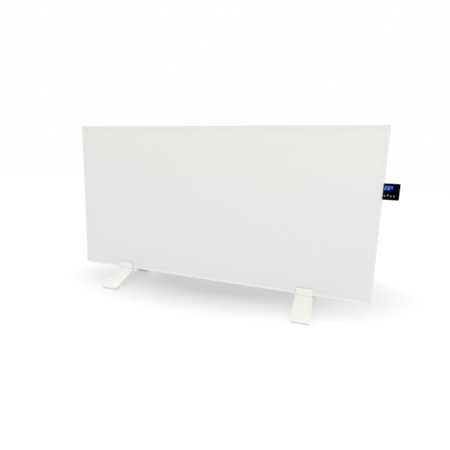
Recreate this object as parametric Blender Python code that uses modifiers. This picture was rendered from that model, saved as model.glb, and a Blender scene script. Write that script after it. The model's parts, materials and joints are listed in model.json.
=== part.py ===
# Infrared panel heater on two bent steel feet, with a control module on its right edge
# Metres, X to the right seen from the front, Y to the back, Z up, floor at Z = 0
import math

import bmesh
import bpy
from mathutils import Euler, Vector

# Driving dimensions
PANEL_WIDTH = 1.195
PANEL_HEIGHT = 0.595
PANEL_DEPTH = 0.024
FLOOR_CLEARANCE = 0.057
FOOT_REACH = 0.112
FOOT_INSET_LEFT = 0.2125
FOOT_INSET_RIGHT = 0.2245
CONTROL_OVERHANG = 0.046
CONTROL_HEIGHT = 0.053
CONTROL_BASE = 0.361

# Clearance between touching pieces, and how far a cutter or a joined boss runs past a face
GAP = 0.0003
OVERRUN = 0.002

# Aluminium frame section
WALL = 0.0016
LIP_WIDTH = 0.0100
LIP_THICK = 0.0015
LEDGE_WIDTH = 0.0110
LEDGE_THICK = 0.0015
EDGE_ROUND = 0.0012

# Corner keys inside the frame
KEY_WIDTH = 0.0068
KEY_LENGTH = 0.045
KEY_ROUND = 0.0015

# Sheets between the front lip and the rear cover
PLATE_THICK = 0.0010
FILM_THICK = 0.0006
BUS_THICK = 0.0005
BUS_WIDTH = 0.012
BUS_MARGIN = 0.006
FOIL_THICK = 0.0003
CHANNEL_WIDTH = 0.030
COVER_THICK = 0.0008
FIELD_MARGIN = 0.010
FIELD_SLOPE = 0.004
FIELD_RAISE = 0.0015

# Pan head screws: cover, foot, terminal box and control module
SCREW_RADIUS = 0.0015
SCREW_HEAD_RADIUS = 0.0028
SCREW_HEAD_HEIGHT = 0.0017
SCREW_HEAD_ROUND = 0.0007
SCREW_BITE = 0.0060
COVER_SCREW_INSET = 0.027
FOOT_SCREW_RADIUS = 0.0024
FOOT_SCREW_HEAD_RADIUS = 0.0046
FOOT_SCREW_HEAD_HEIGHT = 0.0026

# Feet
STEEL = 0.0025
SADDLE_WIDTH = 0.060
SADDLE_LIP = 0.0245
SADDLE_ROUND = 0.0030
LEG_TOP_WIDTH = 0.063
LEG_TOE_WIDTH = 0.068
LEG_BEND = 0.0040
LEG_START = 0.0010
TOE_BEND = 0.0022
TOE_FLANGE = 0.0150
TOE_ROUND = 0.0045
PAD_THICK = 0.0020
PAD_MARGIN = 0.0050
PAD_LENGTH = 0.0130

# Thermal cut-out on the upper busbar
CUTOUT_RADIUS = 0.0065
CUTOUT_HEIGHT = 0.0062
CUTOUT_FLANGE_RADIUS = 0.0080
CUTOUT_FLANGE_THICK = 0.0010
CUTOUT_STUD_RADIUS = 0.0020
CUTOUT_STUD_HEIGHT = 0.0022

# Control module
LAP = 0.0028
GLASS_THICK = 0.0025
CONTROL_ROUND = 0.0030
GLASS_EDGE = 0.0005
HOUSING_RISE = 0.0045
SHELL = 0.0020
SHELL_EDGE = 0.0008
TOUCH_DEPTH = 0.0062
BOARD_THICK = 0.0012
BOARD_MARGIN = 0.0010
TOUCH_SPRING_RADIUS = 0.0012
DISPLAY_WIDTH = 0.0235
DISPLAY_HEIGHT = 0.0165
DISPLAY_BASE = 0.0310
ICON_LEVEL = 0.0135
ICON_START = 0.0052
ICON_PITCH = 0.0088
ICON_COUNT = 4
POST_RADIUS = 0.0028
POST_TIP_RADIUS = 0.0014
POST_INSET = 0.0052
POST_LOW = 0.0285
POWER_STANDOFF = 0.0045
POWER_BASE = 0.0240
RELAY_SIZE = Vector((0.0144, 0.0068, 0.0165))
SUPPLY_SIZE = Vector((0.0120, 0.0060, 0.0110))
CONNECTOR_SIZE = Vector((0.0070, 0.0062, 0.0070))
NTC_RADIUS = 0.0016
NTC_LENGTH = 0.0070
NTC_INSET = 0.0095
VENT_WIDTH = 0.0016
VENT_LENGTH = 0.0090
VENT_PITCH = 0.0030
VENT_COUNT = 3
VENT_INSET = 0.0030
MOUNT_SCREW_LOW = 0.0100
MOUNT_SCREW_HIGH = 0.0430

# Rocker switch in the underside of the control module
SWITCH_LENGTH = 0.0190
SWITCH_DEPTH = 0.0130
SWITCH_HEIGHT = 0.0120
SWITCH_WALL = 0.0014
SWITCH_ROOF = 0.0050
BEZEL_FLANGE = 0.0010
BEZEL_THICK = 0.0015
BEZEL_EDGE = 0.0004
TAB_SIZE = Vector((0.0008, 0.0048, 0.0070))
TAB_PITCH = 0.0068
ROCKER_SINK = 0.0021
ROCKER_CLEARANCE = 0.0003
ROCKER_SWING = math.radians(20)
ROCKER_PROUD = 0.0014
ROCKER_DISH = 0.0012
ROCKER_SHOULDER = 0.0018
ROCKER_CROWN = 0.0030
TRUNNION_RADIUS = 0.0010
TRUNNION_REACH = 0.0008
TRUNNION_CLEARANCE = 0.0003

# Terminal box on the rear cover
BOX_WIDTH = 0.108
BOX_HEIGHT = 0.070
BOX_DEPTH = 0.022
BOX_WALL = 0.0020
BOX_ROUND = 0.0040
BOX_EDGE = 0.0010
BOX_INSET = 0.017
LID_THICK = 0.0025
LID_EDGE = 0.0010
BOX_POST_RADIUS = 0.0036
BOX_POST_INSET = 0.0068
SLOT_WIDTH = 0.0160
SLOT_HEIGHT = 0.0340
SLOT_ROUND = 0.0030
BLOCK_LENGTH = 0.0200
BLOCK_DEPTH = 0.0125
BLOCK_POLE_PITCH = 0.0100
BLOCK_POLES = 3
BLOCK_EDGE = 0.0008
BLOCK_WELL_RADIUS = 0.0022
BLOCK_OFFSET = 0.020

# Cable gland in the terminal box's bottom wall
GLAND_NECK_RADIUS = 0.0070
GLAND_NECK_INSIDE = 0.0050
GLAND_HEX_RADIUS = 0.0098
GLAND_HEX_HEIGHT = 0.0045
GLAND_THREAD = 0.0080
GLAND_BORE = 0.0045
GLAND_OFFSET = 0.072
NUT_RADIUS = 0.0092
NUT_HEIGHT = 0.0140
NUT_DOME = 0.0040
NUT_BORE = 0.0040

# Tilt switch in the terminal box
CHEEK_THICK = 0.0015
CHEEK_SPACING = 0.0096
CHEEK_REACH = 0.0125
TILT_HEIGHT = 0.0270
TILT_OFFSET = 0.094
TILT_LIFT = 0.016
TILT_PIVOT_DROP = 0.0060
TILT_PIVOT_REACH = 0.0098
BOB_RADIUS = 0.0030
BOB_WIDTH = 0.0070
ARM_LENGTH = 0.0120
ARM_THICK = 0.0022
CONTACT_SIZE = Vector((0.0060, 0.0070, 0.0090))

# Internal leads
LEAD_RADIUS = 0.0012
LINK_RADIUS = 0.0020
LEAD_BEND = 0.0060
LINK_BEND = 0.0070
LINK_REACH = 0.0048
LINK_LEVEL = 0.0215

# Distances under which points are one: in a turned profile, and where a curve's caps meet its sides
TURN_MERGE = 0.00001
CAP_MERGE = 0.000001

# Counts that set how round a shape is, and the share of the foot's width between its screws
ROUND_SIDES = 24
SCREW_SIDES = 12
BEND_STEPS = 5
CORNER_STEPS = 4
FOOT_SCREW_SHARE = 0.28

# Base colour, roughness and metallic value of each finish
FINISHES = {
    "coated_frame": ((0.82, 0.82, 0.81), 0.42, 0.0),
    "coated_plate": ((0.80, 0.80, 0.79), 0.48, 0.0),
    "coated_foot": ((0.88, 0.86, 0.82), 0.45, 0.0),
    "rear_steel": ((0.74, 0.75, 0.75), 0.45, 0.3),
    "cast_key": ((0.62, 0.63, 0.64), 0.40, 0.9),
    "carbon_film": ((0.03, 0.03, 0.035), 0.60, 0.0),
    "copper": ((0.80, 0.45, 0.30), 0.30, 1.0),
    "foil": ((0.85, 0.86, 0.87), 0.20, 1.0),
    "mineral_wool": ((0.62, 0.56, 0.40), 0.95, 0.0),
    "zinc": ((0.72, 0.72, 0.70), 0.35, 0.9),
    "rubber": ((0.05, 0.05, 0.05), 0.80, 0.0),
    "pad_rubber": ((0.72, 0.71, 0.69), 0.75, 0.0),
    "black_glass": ((0.008, 0.008, 0.010), 0.06, 0.0),
    "black_plastic": ((0.020, 0.020, 0.022), 0.40, 0.0),
    "white_plastic": ((0.80, 0.80, 0.78), 0.45, 0.0),
    "display_blue": ((0.02, 0.08, 0.35), 0.30, 0.0),
    "circuit_board": ((0.03, 0.18, 0.08), 0.50, 0.0),
    "relay_blue": ((0.06, 0.16, 0.42), 0.40, 0.0),
    "lead_cover": ((0.35, 0.20, 0.12), 0.50, 0.0),
    "ceramic": ((0.82, 0.80, 0.74), 0.50, 0.0),
}

# Places that follow from the sizes, in the panel's own frame
HALF_DEPTH = PANEL_DEPTH / 2
HALF_WIDTH = PANEL_WIDTH / 2
PLATE_FRONT = -HALF_DEPTH + LIP_THICK + GAP
PLATE_BACK = PLATE_FRONT + PLATE_THICK
FILM_FRONT = PLATE_BACK + GAP
FILM_BACK = FILM_FRONT + FILM_THICK
BUS_FRONT = FILM_BACK + GAP
BUS_BACK = BUS_FRONT + BUS_THICK
FOIL_FRONT = BUS_BACK + GAP
FOIL_BACK = FOIL_FRONT + FOIL_THICK
LEDGE_BACK = HALF_DEPTH - COVER_THICK - 2 * GAP
LEDGE_FRONT = LEDGE_BACK - LEDGE_THICK
COVER_FRONT = LEDGE_BACK + GAP
COVER_BACK = COVER_FRONT + COVER_THICK
FIELD_FRONT = COVER_FRONT + FIELD_RAISE
FIELD_BACK = COVER_BACK + FIELD_RAISE
SHEET_INSET = WALL + GAP
KEY_INNER = SHEET_INSET + KEY_WIDTH
KEY_CENTRE = SHEET_INSET + KEY_WIDTH / 2
CORE_INSET = max(LEDGE_WIDTH, KEY_INNER) + GAP
CHANNEL_X = HALF_WIDTH - CORE_INSET - CHANNEL_WIDTH / 2
CONTROL_MIDDLE = CONTROL_BASE + CONTROL_HEIGHT / 2
WIRING_LEVEL = CONTROL_BASE + LINK_LEVEL
BOX_FRONT = FIELD_BACK + GAP
BOX_FLOOR = BOX_FRONT + BOX_WALL
BOX_BACK = BOX_FRONT + BOX_DEPTH
BOX_RIGHT = HALF_WIDTH - BOX_INSET
BOX_LEFT = BOX_RIGHT - BOX_WIDTH
BOX_BOTTOM = CONTROL_MIDDLE - BOX_HEIGHT / 2
SADDLE_TOP = -GAP
SADDLE_BOTTOM = SADDLE_TOP - STEEL
LEG_TOP = SADDLE_BOTTOM - GAP
LEG_MIDDLE = LEG_TOP - STEEL / 2


def clear_scene():
    for thing in list(bpy.data.objects):
        bpy.data.objects.remove(thing, do_unlink=True)


def new_collection(name):
    made = bpy.data.collections.new(name)
    bpy.context.scene.collection.children.link(made)
    return made


clear_scene()
PARTS = new_collection("infrared_heater")
CUTTERS = new_collection("cutters")


def place(name, location, parent=None):
    # an empty that carries the pieces of one assembly, or marks a joint's axis
    empty = bpy.data.objects.new(name, None)
    empty.empty_display_size = SADDLE_LIP
    empty.location = location
    empty.parent = parent
    PARTS.objects.link(empty)
    return empty


def paint(thing, finish):
    colour, roughness, metallic = FINISHES[finish]
    material = bpy.data.materials.new(thing.name + "_finish")
    material.use_nodes = True
    shader = material.node_tree.nodes["Principled BSDF"]
    shader.inputs["Base Color"].default_value = (*colour, 1)
    shader.inputs["Roughness"].default_value = roughness
    shader.inputs["Metallic"].default_value = metallic
    material.diffuse_color = (*colour, 1)
    thing.data.materials.clear()
    thing.data.materials.append(material)


def add_piece(name, mesh, finish, parent, location=(0, 0, 0), rotation=(0, 0, 0)):
    # one sub-part; without a finish it is a cutter or a boss for a Boolean
    piece = bpy.data.objects.new(name, mesh)
    piece.location = location
    piece.rotation_euler = Euler(rotation)
    piece.parent = parent
    if finish:
        PARTS.objects.link(piece)
        paint(piece, finish)
    else:
        CUTTERS.objects.link(piece)
        piece.hide_render = True
        piece.display_type = "WIRE"
    return piece


def mesh_from(bm, name, smooth=False):
    bmesh.ops.recalc_face_normals(bm, faces=bm.faces)
    mesh = bpy.data.meshes.new(name)
    bm.to_mesh(mesh)
    bm.free()
    if smooth:
        mesh.shade_smooth()
        mesh.set_sharp_from_angle(angle=math.radians(35))
    return mesh


def add_block(name, low, high, finish, parent, edge=0.0):
    # a box between two corners of the parent's frame
    low, high = Vector(low), Vector(high)
    bm = bmesh.new()
    bmesh.ops.create_cube(bm, size=1)
    bmesh.ops.scale(bm, vec=high - low, verts=bm.verts)
    piece = add_piece(name, mesh_from(bm, name), finish, parent, (low + high) / 2)
    if edge:
        soften(piece, edge)
    return piece


def soften(piece, width, segments=2, angle=math.radians(40)):
    bevel = piece.modifiers.new("edge", "BEVEL")
    bevel.width = width
    bevel.segments = segments
    bevel.limit_method = "ANGLE"
    bevel.angle_limit = angle
    return bevel


def add_rod(name, start, end, radius, finish, parent, sides=ROUND_SIDES):
    # a cylinder whose axis runs from start to end
    start, end = Vector(start), Vector(end)
    axis = end - start
    bm = bmesh.new()
    bmesh.ops.create_cone(bm, cap_ends=True, segments=sides, radius1=radius, radius2=radius,
                          depth=axis.length)
    turn = Vector((0, 0, 1)).rotation_difference(axis).to_euler()
    return add_piece(name, mesh_from(bm, name, smooth=True), finish, parent, (start + end) / 2, turn)


def add_turned(name, profile, finish, parent, location, rotation=(0, 0, 0), sides=SCREW_SIDES):
    # a profile of (radius, height) points, turned about its own Z axis
    mesh = bpy.data.meshes.new(name)
    hollow = profile[0][0] > 0
    edges = [(i, i + 1) for i in range(len(profile) - 1)]
    if hollow:
        edges.append((len(profile) - 1, 0))
    mesh.from_pydata([(radius, 0, height) for radius, height in profile], edges, [])
    piece = add_piece(name, mesh, finish, parent, location, rotation)
    turn = piece.modifiers.new("turn", "SCREW")
    turn.axis = "Z"
    turn.angle = math.tau
    turn.steps = sides
    turn.render_steps = sides
    turn.use_merge_vertices = True
    turn.merge_threshold = TURN_MERGE
    turn.use_smooth_shade = True
    return piece


def curve_to_mesh(curve_piece, finish):
    # a curve takes no Boolean, so a piece that is cut becomes a mesh with welded caps
    bpy.context.view_layer.update()
    evaluated = curve_piece.evaluated_get(bpy.context.evaluated_depsgraph_get())
    mesh = bpy.data.meshes.new_from_object(evaluated)
    bm = bmesh.new()
    bm.from_mesh(mesh)
    bmesh.ops.remove_doubles(bm, verts=bm.verts, dist=CAP_MERGE)
    bpy.data.meshes.remove(mesh)
    name, parent = curve_piece.name, curve_piece.parent
    location, rotation = curve_piece.location.copy(), curve_piece.rotation_euler.copy()
    bpy.data.objects.remove(curve_piece, do_unlink=True)
    return add_piece(name, mesh_from(bm, name), finish, parent, location, rotation)


def add_outline(name, outline, thickness, finish, parent, location=(0, 0, 0), rotation=(0, 0, 0)):
    # a flat outline in the curve's own XY plane, thickened to both sides
    curve = bpy.data.curves.new(name, "CURVE")
    curve.dimensions = "2D"
    curve.fill_mode = "BOTH"
    curve.extrude = thickness / 2
    spline = curve.splines.new("POLY")
    spline.points.add(len(outline) - 1)
    for point, (across, up) in zip(spline.points, outline):
        point.co = (across, up, 0, 1)
    spline.use_cyclic_u = True
    piece = bpy.data.objects.new(name, curve)
    piece.location = location
    piece.rotation_euler = Euler(rotation)
    piece.parent = parent
    PARTS.objects.link(piece)
    return curve_to_mesh(piece, finish)


def boolean(piece, other, operation):
    modifier = piece.modifiers.new(other.name, "BOOLEAN")
    modifier.operation = operation
    modifier.object = other
    modifier.solver = "EXACT"
    return piece


def cut(piece, cutter):
    return boolean(piece, cutter, "DIFFERENCE")


def join(piece, boss):
    return boolean(piece, boss, "UNION")


def rounded_rectangle(left, bottom, right, top, radius, steps=CORNER_STEPS):
    corners = ((right, top, 0), (left, top, 1), (left, bottom, 2), (right, bottom, 3))
    outline = []
    for x, z, quarter in corners:
        centre_x = x - radius if x == right else x + radius
        centre_z = z - radius if z == top else z + radius
        for step in range(steps + 1):
            angle = (quarter + step / steps) * math.pi / 2
            outline.append((centre_x + radius * math.cos(angle), centre_z + radius * math.sin(angle)))
    return outline


# A flat outline drawn in the curve's XY plane faces the front when turned by this
FACING_FRONT = (math.pi / 2, 0, 0)
# Turned by this, its own X runs to the back, its own Y up and its thickness along X
FACING_RIGHT = (math.pi / 2, 0, math.pi / 2)


def strip_outline(start, heading, path, thickness):
    # the edge line of a bent strip: straight runs and (radius, turn) bends of its middle line
    across, up = start
    line = [(across, up, heading)]
    for kind, first, *rest in path:
        if kind == "run":
            across += first * math.cos(heading)
            up += first * math.sin(heading)
            line.append((across, up, heading))
            continue
        turn = rest[0]
        side = math.copysign(1, turn)
        centre = (across - side * first * math.sin(heading), up + side * first * math.cos(heading))
        steps = max(2, round(BEND_STEPS * abs(turn) / (math.pi / 2)))
        for step in range(1, steps + 1):
            angle = heading + turn * step / steps
            point = (centre[0] + side * first * math.sin(angle), centre[1] - side * first * math.cos(angle))
            line.append((*point, angle))
        heading += turn
        across, up = point
    half = thickness / 2
    left = [(x - half * math.sin(a), z + half * math.cos(a)) for x, z, a in line]
    right = [(x + half * math.sin(a), z - half * math.cos(a)) for x, z, a in line]
    return left + right[::-1]


def rounded_route(points, radius, steps=4):
    # a polyline whose corners are replaced by arcs
    points = [Vector(point) for point in points]
    route = [points[0]]
    for before, corner, after in zip(points, points[1:], points[2:]):
        towards, away = (before - corner).normalized(), (after - corner).normalized()
        half_angle = towards.angle(away) / 2
        reach = radius / math.tan(half_angle)
        centre = corner + (towards + away).normalized() * radius / math.sin(half_angle)
        start, end = corner + towards * reach, corner + away * reach
        for step in range(steps + 1):
            spoke = (start - centre).normalized().slerp((end - centre).normalized(), step / steps)
            route.append(centre + spoke * radius)
    route.append(points[-1])
    return route


def add_lead(name, points, radius, bend, finish, parent):
    curve = bpy.data.curves.new(name, "CURVE")
    curve.dimensions = "3D"
    curve.bevel_depth = radius
    curve.bevel_resolution = 2
    curve.use_fill_caps = True
    route = rounded_route(points, bend)
    spline = curve.splines.new("POLY")
    spline.points.add(len(route) - 1)
    for point, where in zip(spline.points, route):
        point.co = (*where, 1)
    piece = bpy.data.objects.new(name, curve)
    piece.parent = parent
    PARTS.objects.link(piece)
    paint(piece, finish)
    return piece


def add_screw(name, seat, direction, grip, finish, parent, shank=SCREW_RADIUS,
              head=SCREW_HEAD_RADIUS, head_height=SCREW_HEAD_HEIGHT):
    # seat is the point under the head, direction the way that the shank points, grip its length
    profile = [(0, head_height), (head - SCREW_HEAD_ROUND, head_height),
               (head, head_height - SCREW_HEAD_ROUND), (head, 0), (shank, 0), (shank, -grip),
               (0, -grip - shank)]
    turn = Vector((0, 0, -1)).rotation_difference(Vector(direction)).to_euler()
    return add_turned(name, profile, finish, parent, seat, turn)


def drill(pieces, name, seat, direction, length, radius, parent, sides=SCREW_SIDES):
    # one round cutter through several pieces
    direction = Vector(direction)
    start = Vector(seat) - direction * OVERRUN
    bore = add_rod(name, start, Vector(seat) + direction * length, radius, None, parent, sides)
    for piece in pieces:
        cut(piece, bore)


def frame_section():
    # (inwards from the edge, depth) outline of the frame bar
    outline = []
    for step in range(CORNER_STEPS + 1):
        angle = math.pi / 2 * step / CORNER_STEPS
        outline.append((EDGE_ROUND * (1 - math.cos(angle)), -HALF_DEPTH + EDGE_ROUND * (1 - math.sin(angle))))
    lip_inner = -HALF_DEPTH + LIP_THICK
    outline += [(LIP_WIDTH - EDGE_ROUND / 2, -HALF_DEPTH), (LIP_WIDTH, -HALF_DEPTH + EDGE_ROUND / 2),
                (LIP_WIDTH, lip_inner), (WALL, lip_inner), (WALL, LEDGE_FRONT), (LEDGE_WIDTH, LEDGE_FRONT),
                (LEDGE_WIDTH, LEDGE_BACK), (WALL, LEDGE_BACK), (WALL, HALF_DEPTH)]
    for step in range(CORNER_STEPS + 1):
        angle = math.pi / 2 * step / CORNER_STEPS
        outline.append((EDGE_ROUND * (1 - math.sin(angle)), HALF_DEPTH - EDGE_ROUND * (1 - math.cos(angle))))
    return outline


def mitre(piece, half_length):
    # cuts both ends of a bar at 45 degrees, half a gap short of the corner
    bm = bmesh.new()
    bm.from_mesh(piece.data)
    for end in (-1, 1):
        normal = Vector((1, 0, end)).normalized()
        point = Vector((0, 0, end * half_length)) - normal * GAP / 2
        geometry = bm.verts[:] + bm.edges[:] + bm.faces[:]
        bmesh.ops.bisect_plane(bm, geom=geometry, plane_co=point, plane_no=normal, clear_outer=True)
        rim = [edge for edge in bm.edges if edge.is_boundary]
        bmesh.ops.contextual_create(bm, geom=rim)
    bmesh.ops.recalc_face_normals(bm, faces=bm.faces)
    bm.to_mesh(piece.data)
    bm.free()


def build_frame(panel):
    middle = PANEL_HEIGHT / 2
    sides = {
        "frame_bottom": (PANEL_WIDTH, (0, 0, 0), -math.pi / 2),
        "frame_right": (PANEL_HEIGHT, (HALF_WIDTH, 0, middle), math.pi),
        "frame_top": (PANEL_WIDTH, (0, 0, PANEL_HEIGHT), math.pi / 2),
        "frame_left": (PANEL_HEIGHT, (-HALF_WIDTH, 0, middle), 0),
    }
    bars = {}
    for name, (length, where, turn) in sides.items():
        bars[name] = add_outline(name, frame_section(), length, "coated_frame", panel, where, (0, turn, 0))
        mitre(bars[name], length / 2)
    return bars


def build_keys(panel):
    near, far = SHEET_INSET, SHEET_INSET + KEY_LENGTH
    outline = [(near, near), (far, near), (far, KEY_INNER), (KEY_INNER, KEY_INNER), (KEY_INNER, far),
               (near, far)]
    front, back = PLATE_BACK + GAP, LEDGE_FRONT - GAP
    corners = {
        "corner_key_lower_left": (-HALF_WIDTH, 0, 0),
        "corner_key_lower_right": (HALF_WIDTH, 0, -math.pi / 2),
        "corner_key_upper_right": (HALF_WIDTH, PANEL_HEIGHT, math.pi),
        "corner_key_upper_left": (-HALF_WIDTH, PANEL_HEIGHT, math.pi / 2),
    }
    keys = {}
    for name, (x, z, turn) in corners.items():
        where = (x, (front + back) / 2, z)
        key = add_outline(name, outline, back - front, "cast_key", panel, where, (math.pi / 2, turn, 0))
        soften(key, KEY_ROUND / 2, segments=1)
        keys[name] = key
    return keys


def build_sheets(panel):
    edge = HALF_WIDTH - SHEET_INSET
    add_block("front_plate", (-edge, PLATE_FRONT, SHEET_INSET),
              (edge, PLATE_BACK, PANEL_HEIGHT - SHEET_INSET), "coated_plate", panel)
    core = HALF_WIDTH - CORE_INSET
    low, high = CORE_INSET, PANEL_HEIGHT - CORE_INSET
    add_block("heating_film", (-core, FILM_FRONT, low), (core, FILM_BACK, high), "carbon_film", panel)
    strip = core - BUS_MARGIN
    for name, base in (("busbar_lower", low + BUS_MARGIN), ("busbar_upper", high - BUS_MARGIN - BUS_WIDTH)):
        add_block(name, (-strip, BUS_FRONT, base), (strip, BUS_BACK, base + BUS_WIDTH), "copper", panel)
    channel = core - CHANNEL_WIDTH
    add_block("reflective_foil", (-core, FOIL_FRONT, low), (channel, FOIL_BACK, high), "foil", panel)
    add_block("insulation_mat", (-core, FOIL_BACK + GAP, low), (channel, COVER_FRONT - GAP, high),
              "mineral_wool", panel)


def build_cover(panel):
    # the rear sheet has a flat rim and a field pressed out to the back
    bm = bmesh.new()
    bmesh.ops.create_grid(bm, x_segments=1, y_segments=1, size=1)
    rim = Vector((HALF_WIDTH - SHEET_INSET, PANEL_HEIGHT / 2 - SHEET_INSET, 1))
    bmesh.ops.scale(bm, vec=rim, verts=bm.verts)
    field = bm.faces[:]
    border = SADDLE_LIP + FIELD_MARGIN - SHEET_INSET
    bmesh.ops.inset_region(bm, faces=field, thickness=border, use_boundary=True, use_even_offset=True)
    bmesh.ops.inset_region(bm, faces=field, thickness=FIELD_SLOPE, depth=FIELD_RAISE, use_even_offset=True)
    mesh = bpy.data.meshes.new("rear_cover")
    bm.to_mesh(mesh)
    bm.free()
    where = (0, COVER_FRONT, PANEL_HEIGHT / 2)
    cover = add_piece("rear_cover", mesh, "rear_steel", panel, where, (-math.pi / 2, 0, 0))
    sheet = cover.modifiers.new("sheet", "SOLIDIFY")
    sheet.thickness = COVER_THICK
    sheet.offset = 1
    sheet.use_even_offset = True
    return cover


def cover_screws(panel, cover, bars, keys):
    reach = HALF_WIDTH - COVER_SCREW_INSET
    top = PANEL_HEIGHT - KEY_CENTRE
    spots = {
        "cover_screw_lower_left": (-reach, KEY_CENTRE, "frame_bottom", "corner_key_lower_left"),
        "cover_screw_lower_middle": (0, KEY_CENTRE, "frame_bottom", None),
        "cover_screw_lower_right": (reach, KEY_CENTRE, "frame_bottom", "corner_key_lower_right"),
        "cover_screw_upper_left": (-reach, top, "frame_top", "corner_key_upper_left"),
        "cover_screw_upper_middle": (0, top, "frame_top", None),
        "cover_screw_upper_right": (reach, top, "frame_top", "corner_key_upper_right"),
    }
    for name, (x, z, bar, key) in spots.items():
        seat = (x, COVER_BACK + GAP, z)
        add_screw(name, seat, (0, -1, 0), SCREW_BITE, "zinc", panel)
        pierced = [cover, bars[bar]] + ([keys[key]] if key else [])
        drill(pierced, name + "_hole", seat, (0, -1, 0), SCREW_BITE + OVERRUN, SCREW_RADIUS + GAP, panel)


def leg_angle():
    # slope at which the leg's lower end comes down to its pad at the stated reach
    drop = FLOOR_CLEARANCE + LEG_MIDDLE - PAD_THICK - GAP - STEEL / 2
    span = FOOT_REACH + HALF_DEPTH - leg_shoulder() - STEEL / 2
    low, high = math.radians(5), math.radians(80)
    for _ in range(60):
        slope = (low + high) / 2
        down = drop - LEG_BEND * (1 - math.cos(slope)) - TOE_BEND * (1 + math.cos(slope))
        run = down / math.sin(slope)
        across = LEG_BEND * math.sin(slope) + run * math.cos(slope) + TOE_BEND * (1 - math.sin(slope))
        if across > span:
            low = slope
        else:
            high = slope
    return slope, run


def leg_shoulder():
    # distance from the panel's mid-plane at which the leg starts to slope down
    return HALF_DEPTH + GAP


def build_foot(side, centre_x, panel, bottom_bar):
    foot = place("foot_" + side, (centre_x, 0, 0), panel)
    inner = HALF_DEPTH + GAP
    middle = inner + STEEL / 2
    bend = EDGE_ROUND + GAP + STEEL / 2
    web = 2 * (middle - bend)
    rise = SADDLE_LIP + OVERRUN - SADDLE_TOP + STEEL / 2 - bend
    section = strip_outline((-middle, SADDLE_LIP + OVERRUN), -math.pi / 2,
                            [("run", rise), ("bend", bend, math.pi / 2), ("run", web),
                             ("bend", bend, math.pi / 2), ("run", rise)], STEEL)
    saddle = add_outline("foot_" + side + "_saddle", section, SADDLE_WIDTH + 2 * OVERRUN, "coated_foot", foot,
                         (0, 0, 0), FACING_RIGHT)
    front_view = rounded_rectangle(-SADDLE_WIDTH / 2, SADDLE_BOTTOM - 2 * SADDLE_ROUND, SADDLE_WIDTH / 2,
                                   SADDLE_LIP, SADDLE_ROUND)
    trim = add_outline(saddle.name + "_trim", front_view, 4 * middle, None, foot, (0, 0, 0), FACING_FRONT)
    boolean(saddle, trim, "INTERSECT")

    slope, leg_run = leg_angle()
    start = LEG_START
    flat = leg_shoulder() - start
    path = [("run", flat), ("bend", LEG_BEND, -slope), ("run", leg_run),
            ("bend", TOE_BEND, slope - math.pi), ("run", TOE_FLANGE)]
    section = strip_outline((start, LEG_MIDDLE), 0, path, STEEL)
    tip = HALF_DEPTH + FOOT_REACH
    screw_x = SADDLE_WIDTH * FOOT_SCREW_SHARE
    for end, turn in (("front", math.pi), ("rear", 0)):
        half_turn = place("foot_" + side + "_" + end, (0, 0, 0), foot)
        half_turn.rotation_euler = (0, 0, turn)
        leg_name = "foot_" + side + "_" + end + "_leg"
        leg = add_outline(leg_name, section, 2 * LEG_TOE_WIDTH, "coated_foot", half_turn, (0, 0, 0),
                          FACING_RIGHT)
        trim = add_outline(leg_name + "_trim", leg_plan(tip), 3 * FLOOR_CLEARANCE, None, half_turn)
        boolean(leg, trim, "INTERSECT")
        pad_far = tip - TOE_BEND
        pad_half = LEG_TOE_WIDTH / 2 - PAD_MARGIN
        add_block("foot_" + side + "_" + end + "_pad", (-pad_half, pad_far - PAD_LENGTH, -FLOOR_CLEARANCE),
                  (pad_half, pad_far, -FLOOR_CLEARANCE + PAD_THICK), "pad_rubber", half_turn, PAD_THICK / 4)
        seat = Vector((screw_x, HALF_DEPTH / 2, LEG_TOP - STEEL - GAP))
        screw_name = "foot_" + side + "_" + end + "_screw"
        grip = 2 * (STEEL + GAP) + GAP + SCREW_BITE
        add_screw(screw_name, seat, (0, 0, 1), grip, "zinc", half_turn, FOOT_SCREW_RADIUS,
                  FOOT_SCREW_HEAD_RADIUS, FOOT_SCREW_HEAD_HEIGHT)
        drill([leg, saddle, bottom_bar], screw_name + "_hole", seat, (0, 0, 1), grip + OVERRUN,
              FOOT_SCREW_RADIUS + GAP, half_turn)


def leg_plan(tip):
    # the leg seen from above: it widens to its toe, whose corners are rounded
    top, toe = LEG_TOP_WIDTH / 2, LEG_TOE_WIDTH / 2
    outline = [(top, 0)]
    for side in (1, -1):
        for step in range(CORNER_STEPS + 1):
            turn = step / CORNER_STEPS if side > 0 else 1 - step / CORNER_STEPS
            angle = turn * math.pi / 2
            across = toe - TOE_ROUND + TOE_ROUND * math.cos(angle)
            along = tip + GAP - TOE_ROUND + TOE_ROUND * math.sin(angle)
            outline.append((side * across, along))
    outline.append((-top, 0))
    return outline


def open_tray(name, low, high, open_side, radius, wall, rim_edge, finish, parent):
    # a shell with one open side along Y, rounded corners and an even wall inside its outer size
    low, high = Vector(low), Vector(high)
    bm = bmesh.new()
    bmesh.ops.create_cube(bm, size=1)
    bmesh.ops.scale(bm, vec=high - low, verts=bm.verts)
    mouth = [face for face in bm.faces if face.normal.y * open_side > 1 / 2]
    bmesh.ops.delete(bm, geom=mouth, context="FACES_ONLY")
    corners = [edge for edge in bm.edges if edge_runs_along_y(edge)]
    bmesh.ops.bevel(bm, geom=corners, offset=radius, segments=CORNER_STEPS, profile=1 / 2, affect="EDGES")
    bmesh.ops.recalc_face_normals(bm, faces=bm.faces)
    if floor_points_in(bm, open_side):
        bmesh.ops.reverse_faces(bm, faces=bm.faces)
    mesh = bpy.data.meshes.new(name)
    bm.to_mesh(mesh)
    bm.free()
    piece = add_piece(name, mesh, finish, parent, (low + high) / 2)
    shell = piece.modifiers.new("shell", "SOLIDIFY")
    shell.thickness = wall
    shell.offset = -1
    shell.use_even_offset = True
    soften(piece, rim_edge, segments=1)
    return piece


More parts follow.
